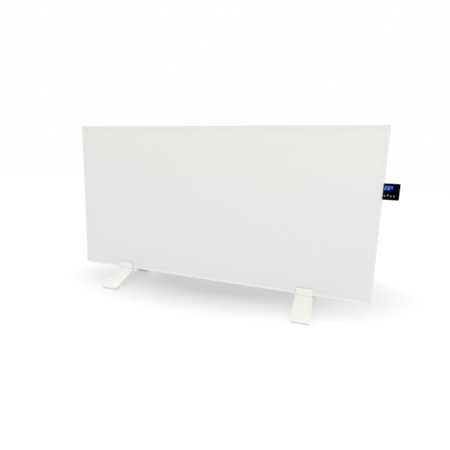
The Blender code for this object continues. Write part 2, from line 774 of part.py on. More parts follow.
def edge_runs_along_y(edge):
    start, end = edge.verts
    return abs((start.co - end.co).normalized().y) > 1 / 2


def floor_points_in(bm, open_side):
    floor = min(bm.faces, key=lambda face: face.calc_center_median().y * open_side)
    return floor.normal.y * open_side > 0


def build_cutout(panel, busbar_middle):
    base = BUS_BACK + GAP
    top = CUTOUT_HEIGHT + CUTOUT_STUD_HEIGHT
    profile = [(0, top), (CUTOUT_STUD_RADIUS, top), (CUTOUT_STUD_RADIUS, CUTOUT_HEIGHT),
               (CUTOUT_RADIUS, CUTOUT_HEIGHT), (CUTOUT_RADIUS, CUTOUT_FLANGE_THICK),
               (CUTOUT_FLANGE_RADIUS, CUTOUT_FLANGE_THICK), (CUTOUT_FLANGE_RADIUS, 0), (0, 0)]
    add_turned("thermal_cutout", profile, "ceramic", panel, (CHANNEL_X, base, busbar_middle),
               (-math.pi / 2, 0, 0), ROUND_SIDES)
    return busbar_middle - CUTOUT_RADIUS


def build_terminal_box(panel, cover):
    low = (BOX_LEFT, BOX_FRONT, BOX_BOTTOM)
    high = (BOX_RIGHT, BOX_BACK, BOX_BOTTOM + BOX_HEIGHT)
    base = open_tray("terminal_box_base", low, high, 1, BOX_ROUND, BOX_WALL, BOX_EDGE, "white_plastic", panel)
    slot = rounded_rectangle(CHANNEL_X - SLOT_WIDTH / 2, WIRING_LEVEL - SLOT_HEIGHT / 2,
                             CHANNEL_X + SLOT_WIDTH / 2, WIRING_LEVEL + SLOT_HEIGHT / 2, SLOT_ROUND)
    slot_depth = BOX_FLOOR - COVER_FRONT + 2 * OVERRUN
    cutter = add_outline("lead_slot", slot, slot_depth, None, panel,
                         (0, COVER_FRONT - OVERRUN + slot_depth / 2, 0), FACING_FRONT)
    cut(base, cutter)
    cut(cover, cutter)

    outline = rounded_rectangle(BOX_LEFT, BOX_BOTTOM, BOX_RIGHT, BOX_BOTTOM + BOX_HEIGHT, BOX_ROUND)
    lid_back = BOX_BACK + GAP + LID_THICK
    lid = add_outline("terminal_box_lid", outline, LID_THICK, "white_plastic", panel,
                      (0, lid_back - LID_THICK / 2, 0), FACING_FRONT)
    soften(lid, LID_EDGE)

    for name, x, z in (("upper_left", BOX_LEFT + BOX_POST_INSET, BOX_BOTTOM + BOX_HEIGHT - BOX_POST_INSET),
                       ("lower_right", BOX_RIGHT - BOX_POST_INSET, BOX_BOTTOM + BOX_POST_INSET)):
        post = add_rod("box_post_" + name, (x, BOX_FLOOR - BOX_WALL / 2, z), (x, BOX_BACK - GAP, z),
                       BOX_POST_RADIUS, None, panel, SCREW_SIDES)
        join(base, post)
        seat = (x, lid_back + GAP, z)
        grip = seat[1] - FIELD_FRONT
        screw = "terminal_box_screw_" + name
        add_screw(screw, seat, (0, -1, 0), grip, "zinc", panel)
        drill([lid, base, cover], screw + "_hole", seat, (0, -1, 0), grip + OVERRUN, SCREW_RADIUS + GAP,
              panel)
    return base


def build_terminal_block(panel):
    # three poles, one above the other, with a screw well in the back of each
    right = CHANNEL_X - BLOCK_OFFSET
    half = BLOCK_POLES * BLOCK_POLE_PITCH / 2
    low = (right - BLOCK_LENGTH, BOX_FLOOR + GAP, WIRING_LEVEL - half)
    high = (right, BOX_FLOOR + GAP + BLOCK_DEPTH, WIRING_LEVEL + half)
    block = add_block("terminal_block", low, high, "ceramic", panel, BLOCK_EDGE)
    for pole in range(BLOCK_POLES):
        z = WIRING_LEVEL + (pole - (BLOCK_POLES - 1) / 2) * BLOCK_POLE_PITCH
        seat = (right - BLOCK_LENGTH / 4, high[1], z)
        drill([block], "well_%d" % pole, seat, (0, -1, 0), BLOCK_DEPTH / 2, BLOCK_WELL_RADIUS, panel)
    return right


def build_gland(panel, base):
    x = BOX_RIGHT - GLAND_OFFSET
    y = (BOX_FLOOR + BOX_BACK) / 2
    wall = BOX_BOTTOM
    hex_top = wall - GAP
    hex_bottom = hex_top - GLAND_HEX_HEIGHT
    neck_bottom = hex_bottom - GLAND_THREAD
    drill([base], "gland_hole", (x, y, wall), (0, 0, 1), BOX_WALL + OVERRUN, GLAND_NECK_RADIUS + GAP, panel,
          ROUND_SIDES)
    body = add_rod("cable_gland_body", (x, y, hex_bottom), (x, y, hex_top), GLAND_HEX_RADIUS, "white_plastic",
                   panel, 6)
    neck = add_rod("gland_neck", (x, y, neck_bottom), (x, y, wall + BOX_WALL + GLAND_NECK_INSIDE),
                   GLAND_NECK_RADIUS, None, panel)
    join(body, neck)
    drill([body], "gland_bore", (x, y, neck_bottom), (0, 0, 1),
          hex_top - neck_bottom + BOX_WALL + GLAND_NECK_INSIDE + 2 * OVERRUN, GLAND_BORE, panel, ROUND_SIDES)

    top = hex_bottom - GAP
    roof = neck_bottom - GAP
    bottom = top - NUT_HEIGHT
    inner = GLAND_NECK_RADIUS + GAP
    dome = []
    for step in range(BEND_STEPS + 1):
        angle = math.pi / 2 * step / BEND_STEPS
        dome.append((NUT_RADIUS - NUT_DOME * (1 - math.cos(angle)),
                     bottom + NUT_DOME * (1 - math.sin(angle))))
    profile = [(inner, top), (NUT_RADIUS, top), *dome, (NUT_BORE, bottom), (NUT_BORE, roof), (inner, roof)]
    add_turned("cable_gland_nut", profile, "white_plastic", panel, (x, y, 0), sides=ROUND_SIDES)
    return x, y


def build_tilt_switch(panel):
    # cheeks on a foot plate carry a pendulum that swings to the front and the back
    right = BOX_RIGHT - TILT_OFFSET + CHEEK_SPACING / 2 + CHEEK_THICK
    left = right - CHEEK_SPACING - 2 * CHEEK_THICK
    bottom = BOX_BOTTOM + BOX_WALL + TILT_LIFT
    top = bottom + TILT_HEIGHT
    foot = BOX_FLOOR + GAP
    case = add_block("tilt_switch_case", (left, foot, bottom), (right, foot + CHEEK_THICK, top),
                     "black_plastic", panel)
    for name, start in (("left", left), ("right", right - CHEEK_THICK)):
        cheek = add_block("tilt_cheek_" + name, (start, foot + CHEEK_THICK / 2, bottom),
                          (start + CHEEK_THICK, foot + CHEEK_REACH, top), None, panel)
        join(case, cheek)
    x = (left + right) / 2
    pivot_z = top - TILT_PIVOT_DROP
    pivot_y = foot + TILT_PIVOT_REACH
    contact_half = CONTACT_SIZE.x / 2
    contact_low = top - CHEEK_THICK
    contact = add_block("tilt_contact", (x - contact_half, foot + CHEEK_THICK / 2, contact_low),
                        (x + contact_half, foot + CONTACT_SIZE.y, contact_low + CONTACT_SIZE.z), None, panel)
    join(case, contact)
    axle = TRUNNION_RADIUS + TRUNNION_CLEARANCE
    drill([case], "tilt_pivot_hole", (left, pivot_y, pivot_z), (1, 0, 0), right - left + OVERRUN, axle, panel)

    swing = place("tilt_pendulum_axis", (x, pivot_y, pivot_z), panel)
    half = CHEEK_SPACING / 2 + CHEEK_THICK
    pendulum = add_rod("tilt_pendulum", (-half, 0, 0), (half, 0, 0), TRUNNION_RADIUS, "zinc", swing,
                       SCREW_SIDES)
    arm_half, bob_half = ARM_THICK / 2, BOB_WIDTH / 2
    arm = add_block("tilt_arm", (-arm_half, -arm_half, -ARM_LENGTH), (arm_half, arm_half, arm_half), None,
                    swing)
    bob = add_rod("tilt_bob", (-bob_half, 0, -ARM_LENGTH), (bob_half, 0, -ARM_LENGTH), BOB_RADIUS, None,
                  swing)
    join(pendulum, arm)
    join(pendulum, bob)


def build_control(panel, right_bar):
    control = place("control_module", (HALF_WIDTH, 0, CONTROL_BASE), panel)
    inner_rear = HALF_DEPTH - SHELL
    left, right, height = GAP, CONTROL_OVERHANG, CONTROL_HEIGHT
    housing = open_tray("control_housing", (left, -HALF_DEPTH, HOUSING_RISE),
                        (right, HALF_DEPTH, height), -1, CONTROL_ROUND, SHELL, SHELL_EDGE, "black_plastic",
                        control)

    face = rounded_rectangle(-LAP, 0, right, height, CONTROL_ROUND)
    glass_back = -HALF_DEPTH - GAP
    glass = add_outline("control_glass", face, GLASS_THICK, "black_glass", control,
                        (0, glass_back - GLASS_THICK / 2, 0), FACING_FRONT)
    soften(glass, GLASS_EDGE)

    room_left, room_right = left + SHELL + GAP, right - SHELL - GAP
    display_front = glass_back + GAP
    touch_front = glass_back + GAP + TOUCH_DEPTH
    add_block("display_module", (room_left, display_front, DISPLAY_BASE),
              (room_left + DISPLAY_WIDTH, touch_front - GAP, DISPLAY_BASE + DISPLAY_HEIGHT), "display_blue",
              control)
    board_left, board_right = room_left + BOARD_MARGIN, room_right - BOARD_MARGIN
    board_low = HOUSING_RISE + SHELL + GAP + BOARD_MARGIN
    board_high = height - SHELL - GAP - BOARD_MARGIN
    touch = add_block("touch_board", (board_left, touch_front, board_low),
                      (board_right, touch_front + BOARD_THICK, board_high), "circuit_board", control)
    for icon in range(ICON_COUNT):
        x = ICON_START + icon * ICON_PITCH
        spring = add_rod("touch_spring_%d" % icon, (x, display_front, ICON_LEVEL),
                         (x, touch_front + BOARD_THICK / 2, ICON_LEVEL), TOUCH_SPRING_RADIUS, None, control,
                         SCREW_SIDES)
        join(touch, spring)

    board_back = inner_rear - POWER_STANDOFF - GAP
    board_front = board_back - BOARD_THICK
    power = add_block("power_board", (board_left, board_front, POWER_BASE),
                      (board_right, board_back, board_high), "circuit_board", control)
    post_high = height - SHELL - POST_INSET
    for x in (left + SHELL + POST_INSET, right - SHELL - POST_INSET):
        for z in (POST_LOW, post_high):
            stem = add_rod("post_stem", (x, inner_rear + SHELL / 2, z), (x, inner_rear - POWER_STANDOFF, z),
                           POST_RADIUS, None, control, SCREW_SIDES)
            tip = add_rod("post_tip", (x, inner_rear - POWER_STANDOFF / 2, z),
                          (x, touch_front + BOARD_THICK + GAP, z), POST_TIP_RADIUS, None, control,
                          SCREW_SIDES)
            join(housing, stem)
            join(housing, tip)
            drill([power], "post_hole", (x, board_front, z), (0, 1, 0), BOARD_THICK + OVERRUN,
                  POST_TIP_RADIUS + GAP, control)

    part_left = left + SHELL + POST_INSET + POST_TIP_RADIUS + 2 * GAP
    supply_high = board_high - BOARD_MARGIN
    supply = add_block("supply", (part_left, board_front - SUPPLY_SIZE.y, supply_high - SUPPLY_SIZE.z),
                       (part_left + SUPPLY_SIZE.x, board_front + BOARD_THICK / 2, supply_high), None, control)
    join(power, supply)
    plug_left = left + SHELL + LINK_REACH + GAP
    plug_half = CONNECTOR_SIZE.z / 2
    plug = add_block("link_connector", (plug_left, board_front - CONNECTOR_SIZE.y, LINK_LEVEL - plug_half),
                     (plug_left + CONNECTOR_SIZE.x, board_front + BOARD_THICK / 2, LINK_LEVEL + plug_half),
                     None, control)
    join(power, plug)
    relay_left = part_left + SUPPLY_SIZE.x + BOARD_MARGIN
    add_block("relay", (relay_left, board_front - GAP - RELAY_SIZE.y, supply_high - RELAY_SIZE.z),
              (relay_left + RELAY_SIZE.x, board_front - GAP, supply_high), "relay_blue", control, BLOCK_EDGE)

    ntc_x = board_right - NTC_INSET
    probe_y = board_front - GAP - NTC_RADIUS
    profile = [(0, 0), (NTC_RADIUS, 0), (NTC_RADIUS, NTC_RADIUS - NTC_LENGTH), (0, -NTC_LENGTH)]
    add_turned("temperature_probe", profile, "lead_cover", control,
               (ntc_x, probe_y, POWER_BASE + NTC_LENGTH / 2), sides=SCREW_SIDES)
    for vent in range(VENT_COUNT):
        x = right - SHELL - VENT_INSET - vent * VENT_PITCH
        cutter = add_block("vent_%d" % vent, (x - VENT_WIDTH / 2, -VENT_LENGTH / 2, HOUSING_RISE - OVERRUN),
                           (x + VENT_WIDTH / 2, VENT_LENGTH / 2, HOUSING_RISE + SHELL + OVERRUN), None,
                           control)
        cut(housing, cutter)

    head_seat = left + SHELL + GAP
    for name, z in (("lower", MOUNT_SCREW_LOW), ("upper", MOUNT_SCREW_HIGH)):
        screw = "control_mount_screw_" + name
        add_screw(screw, (head_seat, 0, z), (-1, 0, 0), SCREW_BITE, "zinc", control)
        drill([housing, right_bar], screw + "_hole", (head_seat, 0, z), (-1, 0, 0), SCREW_BITE,
              SCREW_RADIUS + GAP, control)
    drill([housing, right_bar], "link_hole", (head_seat, 0, LINK_LEVEL), (-1, 0, 0), SCREW_BITE,
          LINK_RADIUS + GAP, control)
    build_rocker_switch(control, housing)
    return control


def build_rocker_switch(control, housing):
    # the switch body is snapped in from below, its rocker stays where it is pressed
    x = CONTROL_OVERHANG / 2
    y = HALF_DEPTH - SHELL - 2 * GAP - SWITCH_DEPTH / 2
    seat = place("power_switch", (x, y, HOUSING_RISE), control)
    half_x, half_y = SWITCH_LENGTH / 2, SWITCH_DEPTH / 2
    opening = add_block("switch_opening", (-half_x - GAP, -half_y - GAP, -OVERRUN),
                        (half_x + GAP, half_y + GAP, SHELL + OVERRUN), None, seat)
    cut(housing, opening)
    bezel_bottom = -GAP - BEZEL_THICK
    body = add_block("power_switch_body", (-half_x, -half_y, -GAP - BEZEL_THICK / 2),
                     (half_x, half_y, SWITCH_HEIGHT), "black_plastic", seat)
    bezel = add_block("switch_bezel", (-half_x - BEZEL_FLANGE, -half_y - BEZEL_FLANGE, bezel_bottom),
                      (half_x + BEZEL_FLANGE, half_y + BEZEL_FLANGE, -GAP), None, seat, BEZEL_EDGE)
    join(body, bezel)
    for tab in (-1, 0, 1):
        tab_x, tab_half = tab * TAB_PITCH, TAB_SIZE.x / 2
        blade = add_block("switch_tab", (tab_x - tab_half, -TAB_SIZE.y / 2, SWITCH_HEIGHT - TAB_SIZE.x),
                          (tab_x + tab_half, TAB_SIZE.y / 2, SWITCH_HEIGHT + TAB_SIZE.z), None, seat)
        join(body, blade)
    well_x, well_y = half_x - SWITCH_WALL, half_y - SWITCH_WALL
    well = add_block("switch_well", (-well_x, -well_y, bezel_bottom - OVERRUN), (well_x, well_y, SWITCH_ROOF),
                     None, seat)
    cut(body, well)

    axis_z = bezel_bottom + ROCKER_SINK
    pocket_reach = well_y + TRUNNION_REACH + TRUNNION_CLEARANCE
    pocket = add_rod("rocker_pocket", (0, -pocket_reach, axis_z), (0, pocket_reach, axis_z),
                     TRUNNION_RADIUS + TRUNNION_CLEARANCE, None, seat, SCREW_SIDES)
    cut(body, pocket)

    # outline of the rocker about its axis: two arcs run inside the well, the dished face looks down
    radius = well_x - ROCKER_CLEARANCE
    face_angle = math.asin((ROCKER_SINK + ROCKER_PROUD) / radius)
    shoulder_angle = math.asin(ROCKER_SHOULDER / radius)
    arc = [-face_angle + (face_angle + shoulder_angle) * step / BEND_STEPS for step in range(BEND_STEPS + 1)]
    right_end = [(radius * math.cos(angle), radius * math.sin(angle)) for angle in arc]
    left_end = [(-across, up) for across, up in reversed(right_end)]
    crown = radius / 2
    outline = [*right_end, (crown, ROCKER_CROWN), (-crown, ROCKER_CROWN), *left_end,
               (0, -ROCKER_SINK - ROCKER_PROUD + ROCKER_DISH)]
    axis = place("power_rocker_axis", (0, 0, axis_z), seat)
    axis.rotation_euler = (0, ROCKER_SWING / 2, 0)
    width = 2 * (well_y - ROCKER_CLEARANCE)
    rocker = add_outline("power_rocker", outline, width, "black_plastic", axis, (0, 0, 0), FACING_FRONT)
    pin_reach = well_y + TRUNNION_REACH
    pin = add_rod("rocker_trunnions", (0, -pin_reach, 0), (0, pin_reach, 0), TRUNNION_RADIUS, None, axis,
                  SCREW_SIDES)
    join(rocker, pin)


def build_leads(panel, cutout_edge, lower_busbar, block_right):
    lead_y = BUS_BACK + GAP + CUTOUT_FLANGE_THICK + 2 * GAP + LEAD_RADIUS
    box_y = BOX_FLOOR + GAP + BLOCK_DEPTH / 2
    end_x = block_right + GAP
    live_z = WIRING_LEVEL + BLOCK_POLE_PITCH
    add_lead("live_lead", [(CHANNEL_X, lead_y, cutout_edge - GAP), (CHANNEL_X, lead_y, live_z),
                           (CHANNEL_X, box_y, live_z), (end_x, box_y, live_z)],
             LEAD_RADIUS, LEAD_BEND, "lead_cover", panel)
    neutral_z = WIRING_LEVEL - BLOCK_POLE_PITCH
    tail_y = BUS_BACK + GAP + LEAD_RADIUS
    add_lead("neutral_lead", [(CHANNEL_X, tail_y, lower_busbar), (CHANNEL_X, tail_y, neutral_z),
                              (CHANNEL_X, box_y, neutral_z), (end_x, box_y, neutral_z)],
             LEAD_RADIUS, LEAD_BEND, "lead_cover", panel)
    add_lead("link_cable", [(end_x, box_y, WIRING_LEVEL), (CHANNEL_X, box_y, WIRING_LEVEL),
                            (CHANNEL_X, 0, WIRING_LEVEL),
                            (HALF_WIDTH + GAP + SHELL + LINK_REACH, 0, WIRING_LEVEL)],
             LINK_RADIUS, LINK_BEND, "rubber", panel)


def main():
    panel_x = -CONTROL_OVERHANG / 2
    heater = place("infrared_heater_origin", (0, 0, 0))
    panel = place("panel", (panel_x, 0, FLOOR_CLEARANCE), heater)
    bars = build_frame(panel)
    keys = build_keys(panel)
    build_sheets(panel)
    cover = build_cover(panel)
    cover_screws(panel, cover, bars, keys)
    build_foot("left", -HALF_WIDTH + FOOT_INSET_LEFT, panel, bars["frame_bottom"])
    build_foot("right", HALF_WIDTH - FOOT_INSET_RIGHT, panel, bars["frame_bottom"])
    upper_busbar = PANEL_HEIGHT - CORE_INSET - BUS_MARGIN - BUS_WIDTH / 2
    cutout_edge = build_cutout(panel, upper_busbar)
    base = build_terminal_box(panel, cover)
    block_right = build_terminal_block(panel)
    build_gland(panel, base)
    build_tilt_switch(panel)
    build_control(panel, bars["frame_right"])
    build_leads(panel, cutout_edge, CORE_INSET + BUS_MARGIN + BUS_WIDTH / 2, block_right)
    bpy.context.view_layer.update()


main()
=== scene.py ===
import json
import math

import bmesh
import bpy
from mathutils import Matrix, Vector

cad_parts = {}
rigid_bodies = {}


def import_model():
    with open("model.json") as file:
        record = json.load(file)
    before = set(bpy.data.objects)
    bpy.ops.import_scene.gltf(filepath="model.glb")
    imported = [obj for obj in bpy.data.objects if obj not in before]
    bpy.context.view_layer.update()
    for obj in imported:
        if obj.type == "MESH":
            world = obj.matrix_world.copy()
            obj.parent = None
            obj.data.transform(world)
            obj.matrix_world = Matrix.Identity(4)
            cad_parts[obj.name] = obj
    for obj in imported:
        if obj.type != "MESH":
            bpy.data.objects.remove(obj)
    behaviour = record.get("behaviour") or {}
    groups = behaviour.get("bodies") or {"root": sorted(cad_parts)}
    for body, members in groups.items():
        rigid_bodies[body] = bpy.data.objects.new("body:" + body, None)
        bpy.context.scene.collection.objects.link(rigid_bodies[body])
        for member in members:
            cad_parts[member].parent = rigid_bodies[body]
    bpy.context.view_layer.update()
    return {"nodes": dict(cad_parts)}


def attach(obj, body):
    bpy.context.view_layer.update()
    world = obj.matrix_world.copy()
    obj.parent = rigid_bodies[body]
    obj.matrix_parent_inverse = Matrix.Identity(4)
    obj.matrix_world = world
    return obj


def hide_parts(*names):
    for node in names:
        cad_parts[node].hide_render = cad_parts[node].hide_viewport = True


for thing in list(bpy.data.objects):
    bpy.data.objects.remove(thing, do_unlink=True)
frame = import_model()
nodes = frame["nodes"]
print("frame loaded with", len(nodes), "nodes")


def turned(axis, degrees):
    return Matrix.Rotation(math.radians(degrees), 3, axis)


# Camera, where the photograph was taken from

cameraSettings = {
    "place": (0.4136, -1.0739, 0.5007), "yaw": 16.96, "pitch": -8.99, "roll": 2.23, "lens": 24.07,
    "sensor_width": 36.0, "shift_x": -0.0296, "shift_y": -0.0203,
}


def addCamera():
    look = cameraSettings
    bpy.ops.object.camera_add(location=look["place"])
    camera = bpy.context.object
    camera.name = "photoCamera"
    turn = turned("Z", look["yaw"]) @ turned("X", 90 + look["pitch"]) @ turned("Z", look["roll"])
    camera.rotation_euler = turn.to_euler()
    for key in ("lens", "sensor_width", "shift_x", "shift_y"):
        setattr(camera.data, key, look[key])
    bpy.context.scene.camera = camera


addCamera()
print("camera placed")


# Small tools for modelling in edit mode. Lengths are millimetres of the panel: across from its middle,
# deep towards the back from its middle plane, up from its lower edge

panelPlace = {"acrossShift": -23.0, "floorGap": 57.0}
panelWide, panelHigh = 1195.0, 595.0
sideDirections = {"top": (0, 0, 1), "bottom": (0, 0, -1), "back": (0, 1, 0), "front": (0, -1, 0)}
smoothAngle = 35

# how far a cutter stands out past what it cuts
overshoot = 2


def at(across, deep, up):
    place = (across + panelPlace["acrossShift"], deep, up + panelPlace["floorGap"])
    return Vector(place) / 1000


def fromPanel(point):
    # where a point of a mesh lies on the panel
    return Vector((point.x * 1000 - panelPlace["acrossShift"], point.y * 1000,
                   point.z * 1000 - panelPlace["floorGap"]))


def along(axis, place, start, end):
    # the two ends of a line through a place, along the axis
    ends = []
    for level in (start, end):
        point = list(place)
        point["xyz".index(axis)] = level
        ends.append(point)
    return ends


def near(value, target, reach=0.04):
    return abs(value - target) < reach


def clearSelection():
    if bpy.context.mode != "OBJECT":
        bpy.ops.object.mode_set(mode="OBJECT")
    bpy.ops.object.select_all(action="DESELECT")


def activate(piece):
    clearSelection()
    piece.select_set(True)
    bpy.context.view_layer.objects.active = piece


def startEdit(piece):
    activate(piece)
    bpy.ops.object.mode_set(mode="EDIT")
    bpy.ops.mesh.select_all(action="DESELECT")


def endEdit():
    bpy.ops.object.mode_set(mode="OBJECT")


def rename(piece, name):
    piece.name = name
    piece.data.name = name
    return piece


def nameActive(name):
    bpy.ops.object.transform_apply(location=True, rotation=True, scale=True)
    return rename(bpy.context.object, name)


def addBox(name, low, high):
    clearSelection()
    low, high = at(*low), at(*high)
    bpy.ops.mesh.primitive_cube_add(size=1, location=(low + high) / 2)
    bpy.context.object.scale = high - low
    return nameActive(name)


def addSheet(name, low, high, facing="up"):
    # a flat sheet between two corners, facing up or to the back
    clearSelection()
    low, high = at(*low), at(*high)
    size = high - low
    turn = {"up": 0.0, "back": -math.pi / 2}[facing]
    bpy.ops.mesh.primitive_plane_add(size=1, location=(low + high) / 2, rotation=(turn, 0, 0))
    bpy.context.object.scale = (size.x, size.y if facing == "up" else size.z, 1)
    return nameActive(name)


def addRod(name, radius, start, end, sides=32):
    # a round bar between two points
    clearSelection()
    start, end = at(*start), at(*end)
    turn = Vector((0, 0, 1)).rotation_difference(end - start).to_euler()
    bpy.ops.mesh.primitive_cylinder_add(vertices=sides, radius=radius / 1000, depth=(end - start).length,
                                        location=(start + end) / 2, rotation=turn)
    return nameActive(name)


def pick(piece, kind, test):
    # in edit mode, selects the faces, edges or points whose middle and direction pass the test
    bpy.ops.mesh.select_mode(type=kind)
    bpy.ops.mesh.select_all(action="DESELECT")
    cage = bmesh.from_edit_mesh(piece.data)
    cage.normal_update()
    if kind == "FACE":
        for face in cage.faces:
            face.select_set(test(fromPanel(face.calc_center_median()), face.normal))
    elif kind == "EDGE":
        for edge in cage.edges:
            start, end = (vert.co for vert in edge.verts)
            edge.select_set(test(fromPanel((start + end) / 2), (end - start).normalized()))
    else:
        for vert in cage.verts:
            vert.select_set(test(fromPanel(vert.co), vert.normal))
    cage.select_flush_mode()
    bmesh.update_edit_mesh(piece.data)


def pickFaces(piece, *sides, limit=0.9):
    # the faces that look to any of these sides
    pick(piece, "FACE", lambda p, n: any(n.dot(Vector(sideDirections[side])) > limit for side in sides))


def pickEdges(piece, axis, **places):
    # the edges that run along an axis, at the given places on the other axes
    pick(piece, "EDGE", lambda p, d: abs(getattr(d, axis)) > 0.9
         and all(near(getattr(p, key), value) for key, value in places.items()))


def roundPicked(radius, segments=4, kind="EDGES"):
    bpy.ops.mesh.bevel(offset=radius / 1000, segments=segments, affect=kind, profile=0.5)


def roundAlong(piece, axis, radius, segments):
    # rounds every edge that runs along an axis
    startEdit(piece)
    pickEdges(piece, axis)
    roundPicked(radius, segments)
    endEdit()
    return piece


def roundFaces(piece, radius, segments, *sides):
    # rounds the edges of the faces that look to these sides
    startEdit(piece)
    pickFaces(piece, *sides)
    roundPicked(radius, segments)
    endEdit()


def insetPicked(width, raised=0.0):
    bpy.ops.mesh.inset(thickness=width / 1000, depth=raised / 1000, use_boundary=True, use_even_offset=True)


def extrudePicked(across, deep, up):
    move = Vector((across, deep, up)) / 1000
    bpy.ops.mesh.extrude_region_move(TRANSFORM_OT_translate={"value": move})


def bendPicked(centre, degrees, steps):
    # turns the picked edges about an axis along the panel's width, leaving a bent sheet behind them
    bpy.ops.mesh.spin(steps=steps, angle=-math.radians(degrees), center=at(*centre), axis=(1, 0, 0))


def sliceAt(place, normal, keep="both"):
    # cuts through the whole piece; with one side kept, the cut is closed with a face
    bpy.ops.mesh.select_all(action="SELECT")
    bpy.ops.mesh.bisect(plane_co=at(*place), plane_no=normal, use_fill=keep != "both",
                        clear_outer=keep == "inner", clear_inner=keep == "outer")


def addModifier(piece, kind, **values):
    modifier = piece.modifiers.new(kind.lower(), kind)
    for key, value in values.items():
        setattr(modifier, key, value)
    activate(piece)
    bpy.ops.object.modifier_apply(modifier=modifier.name)


def softenEdges(piece, width, segments=2, angle=30):
    addModifier(piece, "BEVEL", width=width / 1000, segments=segments, limit_method="ANGLE",
                angle_limit=math.radians(angle))


def thicken(piece, thickness, offset=0.0):
    addModifier(piece, "SOLIDIFY", thickness=thickness / 1000, offset=offset, use_even_offset=True)


def drop(piece):
    bpy.data.objects.remove(piece, do_unlink=True)


def cutWith(piece, cutter, operation="DIFFERENCE"):
    addModifier(piece, "BOOLEAN", object=cutter, operation=operation, solver="EXACT")
    drop(cutter)


def drill(piece, radius, axis, place, start, end, sides=20):
    cutWith(piece, addRod("hole", radius, *along(axis, place, start, end), sides))


def weldRod(piece, radius, axis, place, start, end, sides):
    cutWith(piece, addRod("rod", radius, *along(axis, place, start, end), sides), "UNION")


def joinPieces(name, pieces):
    activate(pieces[0])
    for piece in pieces[1:]:
        piece.select_set(True)
    if len(pieces) > 1:
        bpy.ops.object.join()
    return rename(bpy.context.object, name)


def copyPiece(master, name, turn, place):
    # a copy with its own mesh: the master stands at the panel's origin, place is where that point goes
    piece = master.copy()
    piece.data = master.data.copy()
    rename(piece, name)
    bpy.context.collection.objects.link(piece)
    home = Matrix.Translation(-at(0, 0, 0))
    piece.matrix_world = Matrix.Translation(at(*place)) @ turn.to_4x4() @ home
    activate(piece)
    bpy.ops.object.transform_apply(location=True, rotation=True, scale=True)
    return piece


def setFinish(piece, slot, material=None):
    piece.data.materials.clear()
    piece.data.materials.append(material or finishes[slot])


def finishPiece(piece, slot, *replaced, body="heater", material=None):
    activate(piece)
    bpy.ops.object.shade_smooth_by_angle(angle=math.radians(smoothAngle))
    setFinish(piece, slot, material)
    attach(piece, body)
    if replaced:
        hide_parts(*replaced)
    return piece


# Shader nodes, and the groups that the finishes share

finishes = {}
socketKinds = {"Place": "Vector", "Stretch": "Vector", "Colour": "Color", "Drift Colour": "Color",
               "Tone": "Color", "Dull Colour": "Color"}


def rgb(red, green, blue):
    return (red, green, blue, 1.0)


def grey(level):
    return rgb(level, level, level)


def feed(tree, socket, value):
    # an even value is set on the socket, anything else is wired to it
    if isinstance(value, (int, float, tuple)):
        socket.default_value = value
    else:
        tree.links.new(value, socket)


def feedAll(tree, node, values):
    # by the inputs' labels, with underscores for spaces
    for label, value in values.items():
        feed(tree, node.inputs[label.replace("_", " ")], value)


def addNode(tree, kind, *values, **named):
    # values fill the inputs in turn; names with capitals are inputs, the others are the node's settings
    node = tree.nodes.new("ShaderNode" + kind)
    for key, value in named.items():
        if key.islower():
            setattr(node, key, value)
    feedAll(tree, node, {key: value for key, value in named.items() if not key.islower()})
    for socket, value in zip(node.inputs, values):
        feed(tree, socket, value)
    return node


def maths(tree, operation, *values):
    return addNode(tree, "Math", *values, operation=operation).outputs[0]


def noise(tree, place, scale, detail=2.0, roughness=0.5):
    node = addNode(tree, "TexNoise", Vector=place, Scale=scale, Detail=detail, Roughness=roughness)
    return node.outputs["Fac"]


def ranged(tree, value, low, high, outLow=0.0, outHigh=1.0):
    return addNode(tree, "MapRange", value, low, high, outLow, outHigh).outputs["Result"]


def mixColours(tree, factor, first, second, blend="MIX"):
    # a mix node's colours are its inputs 6 and 7, and its output 2
    node = addNode(tree, "Mix", factor, data_type="RGBA", blend_type=blend)
    feed(tree, node.inputs[6], first)
    feed(tree, node.inputs[7], second)
    return node.outputs[2]


def newGroup(name, labels):
    # a group with these inputs, which puts out a colour, a roughness and a height
    group = bpy.data.node_groups.new(name, "ShaderNodeTree")
    sockets = [(label, "INPUT") for label in ("Place", *labels)]
    sockets += [(label, "OUTPUT") for label in ("Colour", "Roughness", "Height")]
    for label, side in sockets:
        kind = "NodeSocket" + socketKinds.get(label, "Float")
        group.interface.new_socket(name=label, in_out=side, socket_type=kind)
    return group, group.nodes.new("NodeGroupInput").outputs


def closeGroup(group, *results):
    end = group.nodes.new("NodeGroupOutput")
    for socket, result in zip(end.inputs, results):
        feed(group, socket, result)
    return group


coatMix = {
    "driftDetail": (2.0, 0.45), "driftSteps": (0.35, 0.65), "peelDetail": (1.5, 0.4), "fineScale": 3.7,
    "fineHeight": 0.25, "speckScale": 0.31, "speckDetail": (3.0, 0.7), "speckSteps": (0.68, 0.74),
    "speckShare": 0.05, "speckTone": rgb(0.45, 0.43, 0.40), "patchScale": 7.0, "patchDetail": (3.0, 0.6),
}


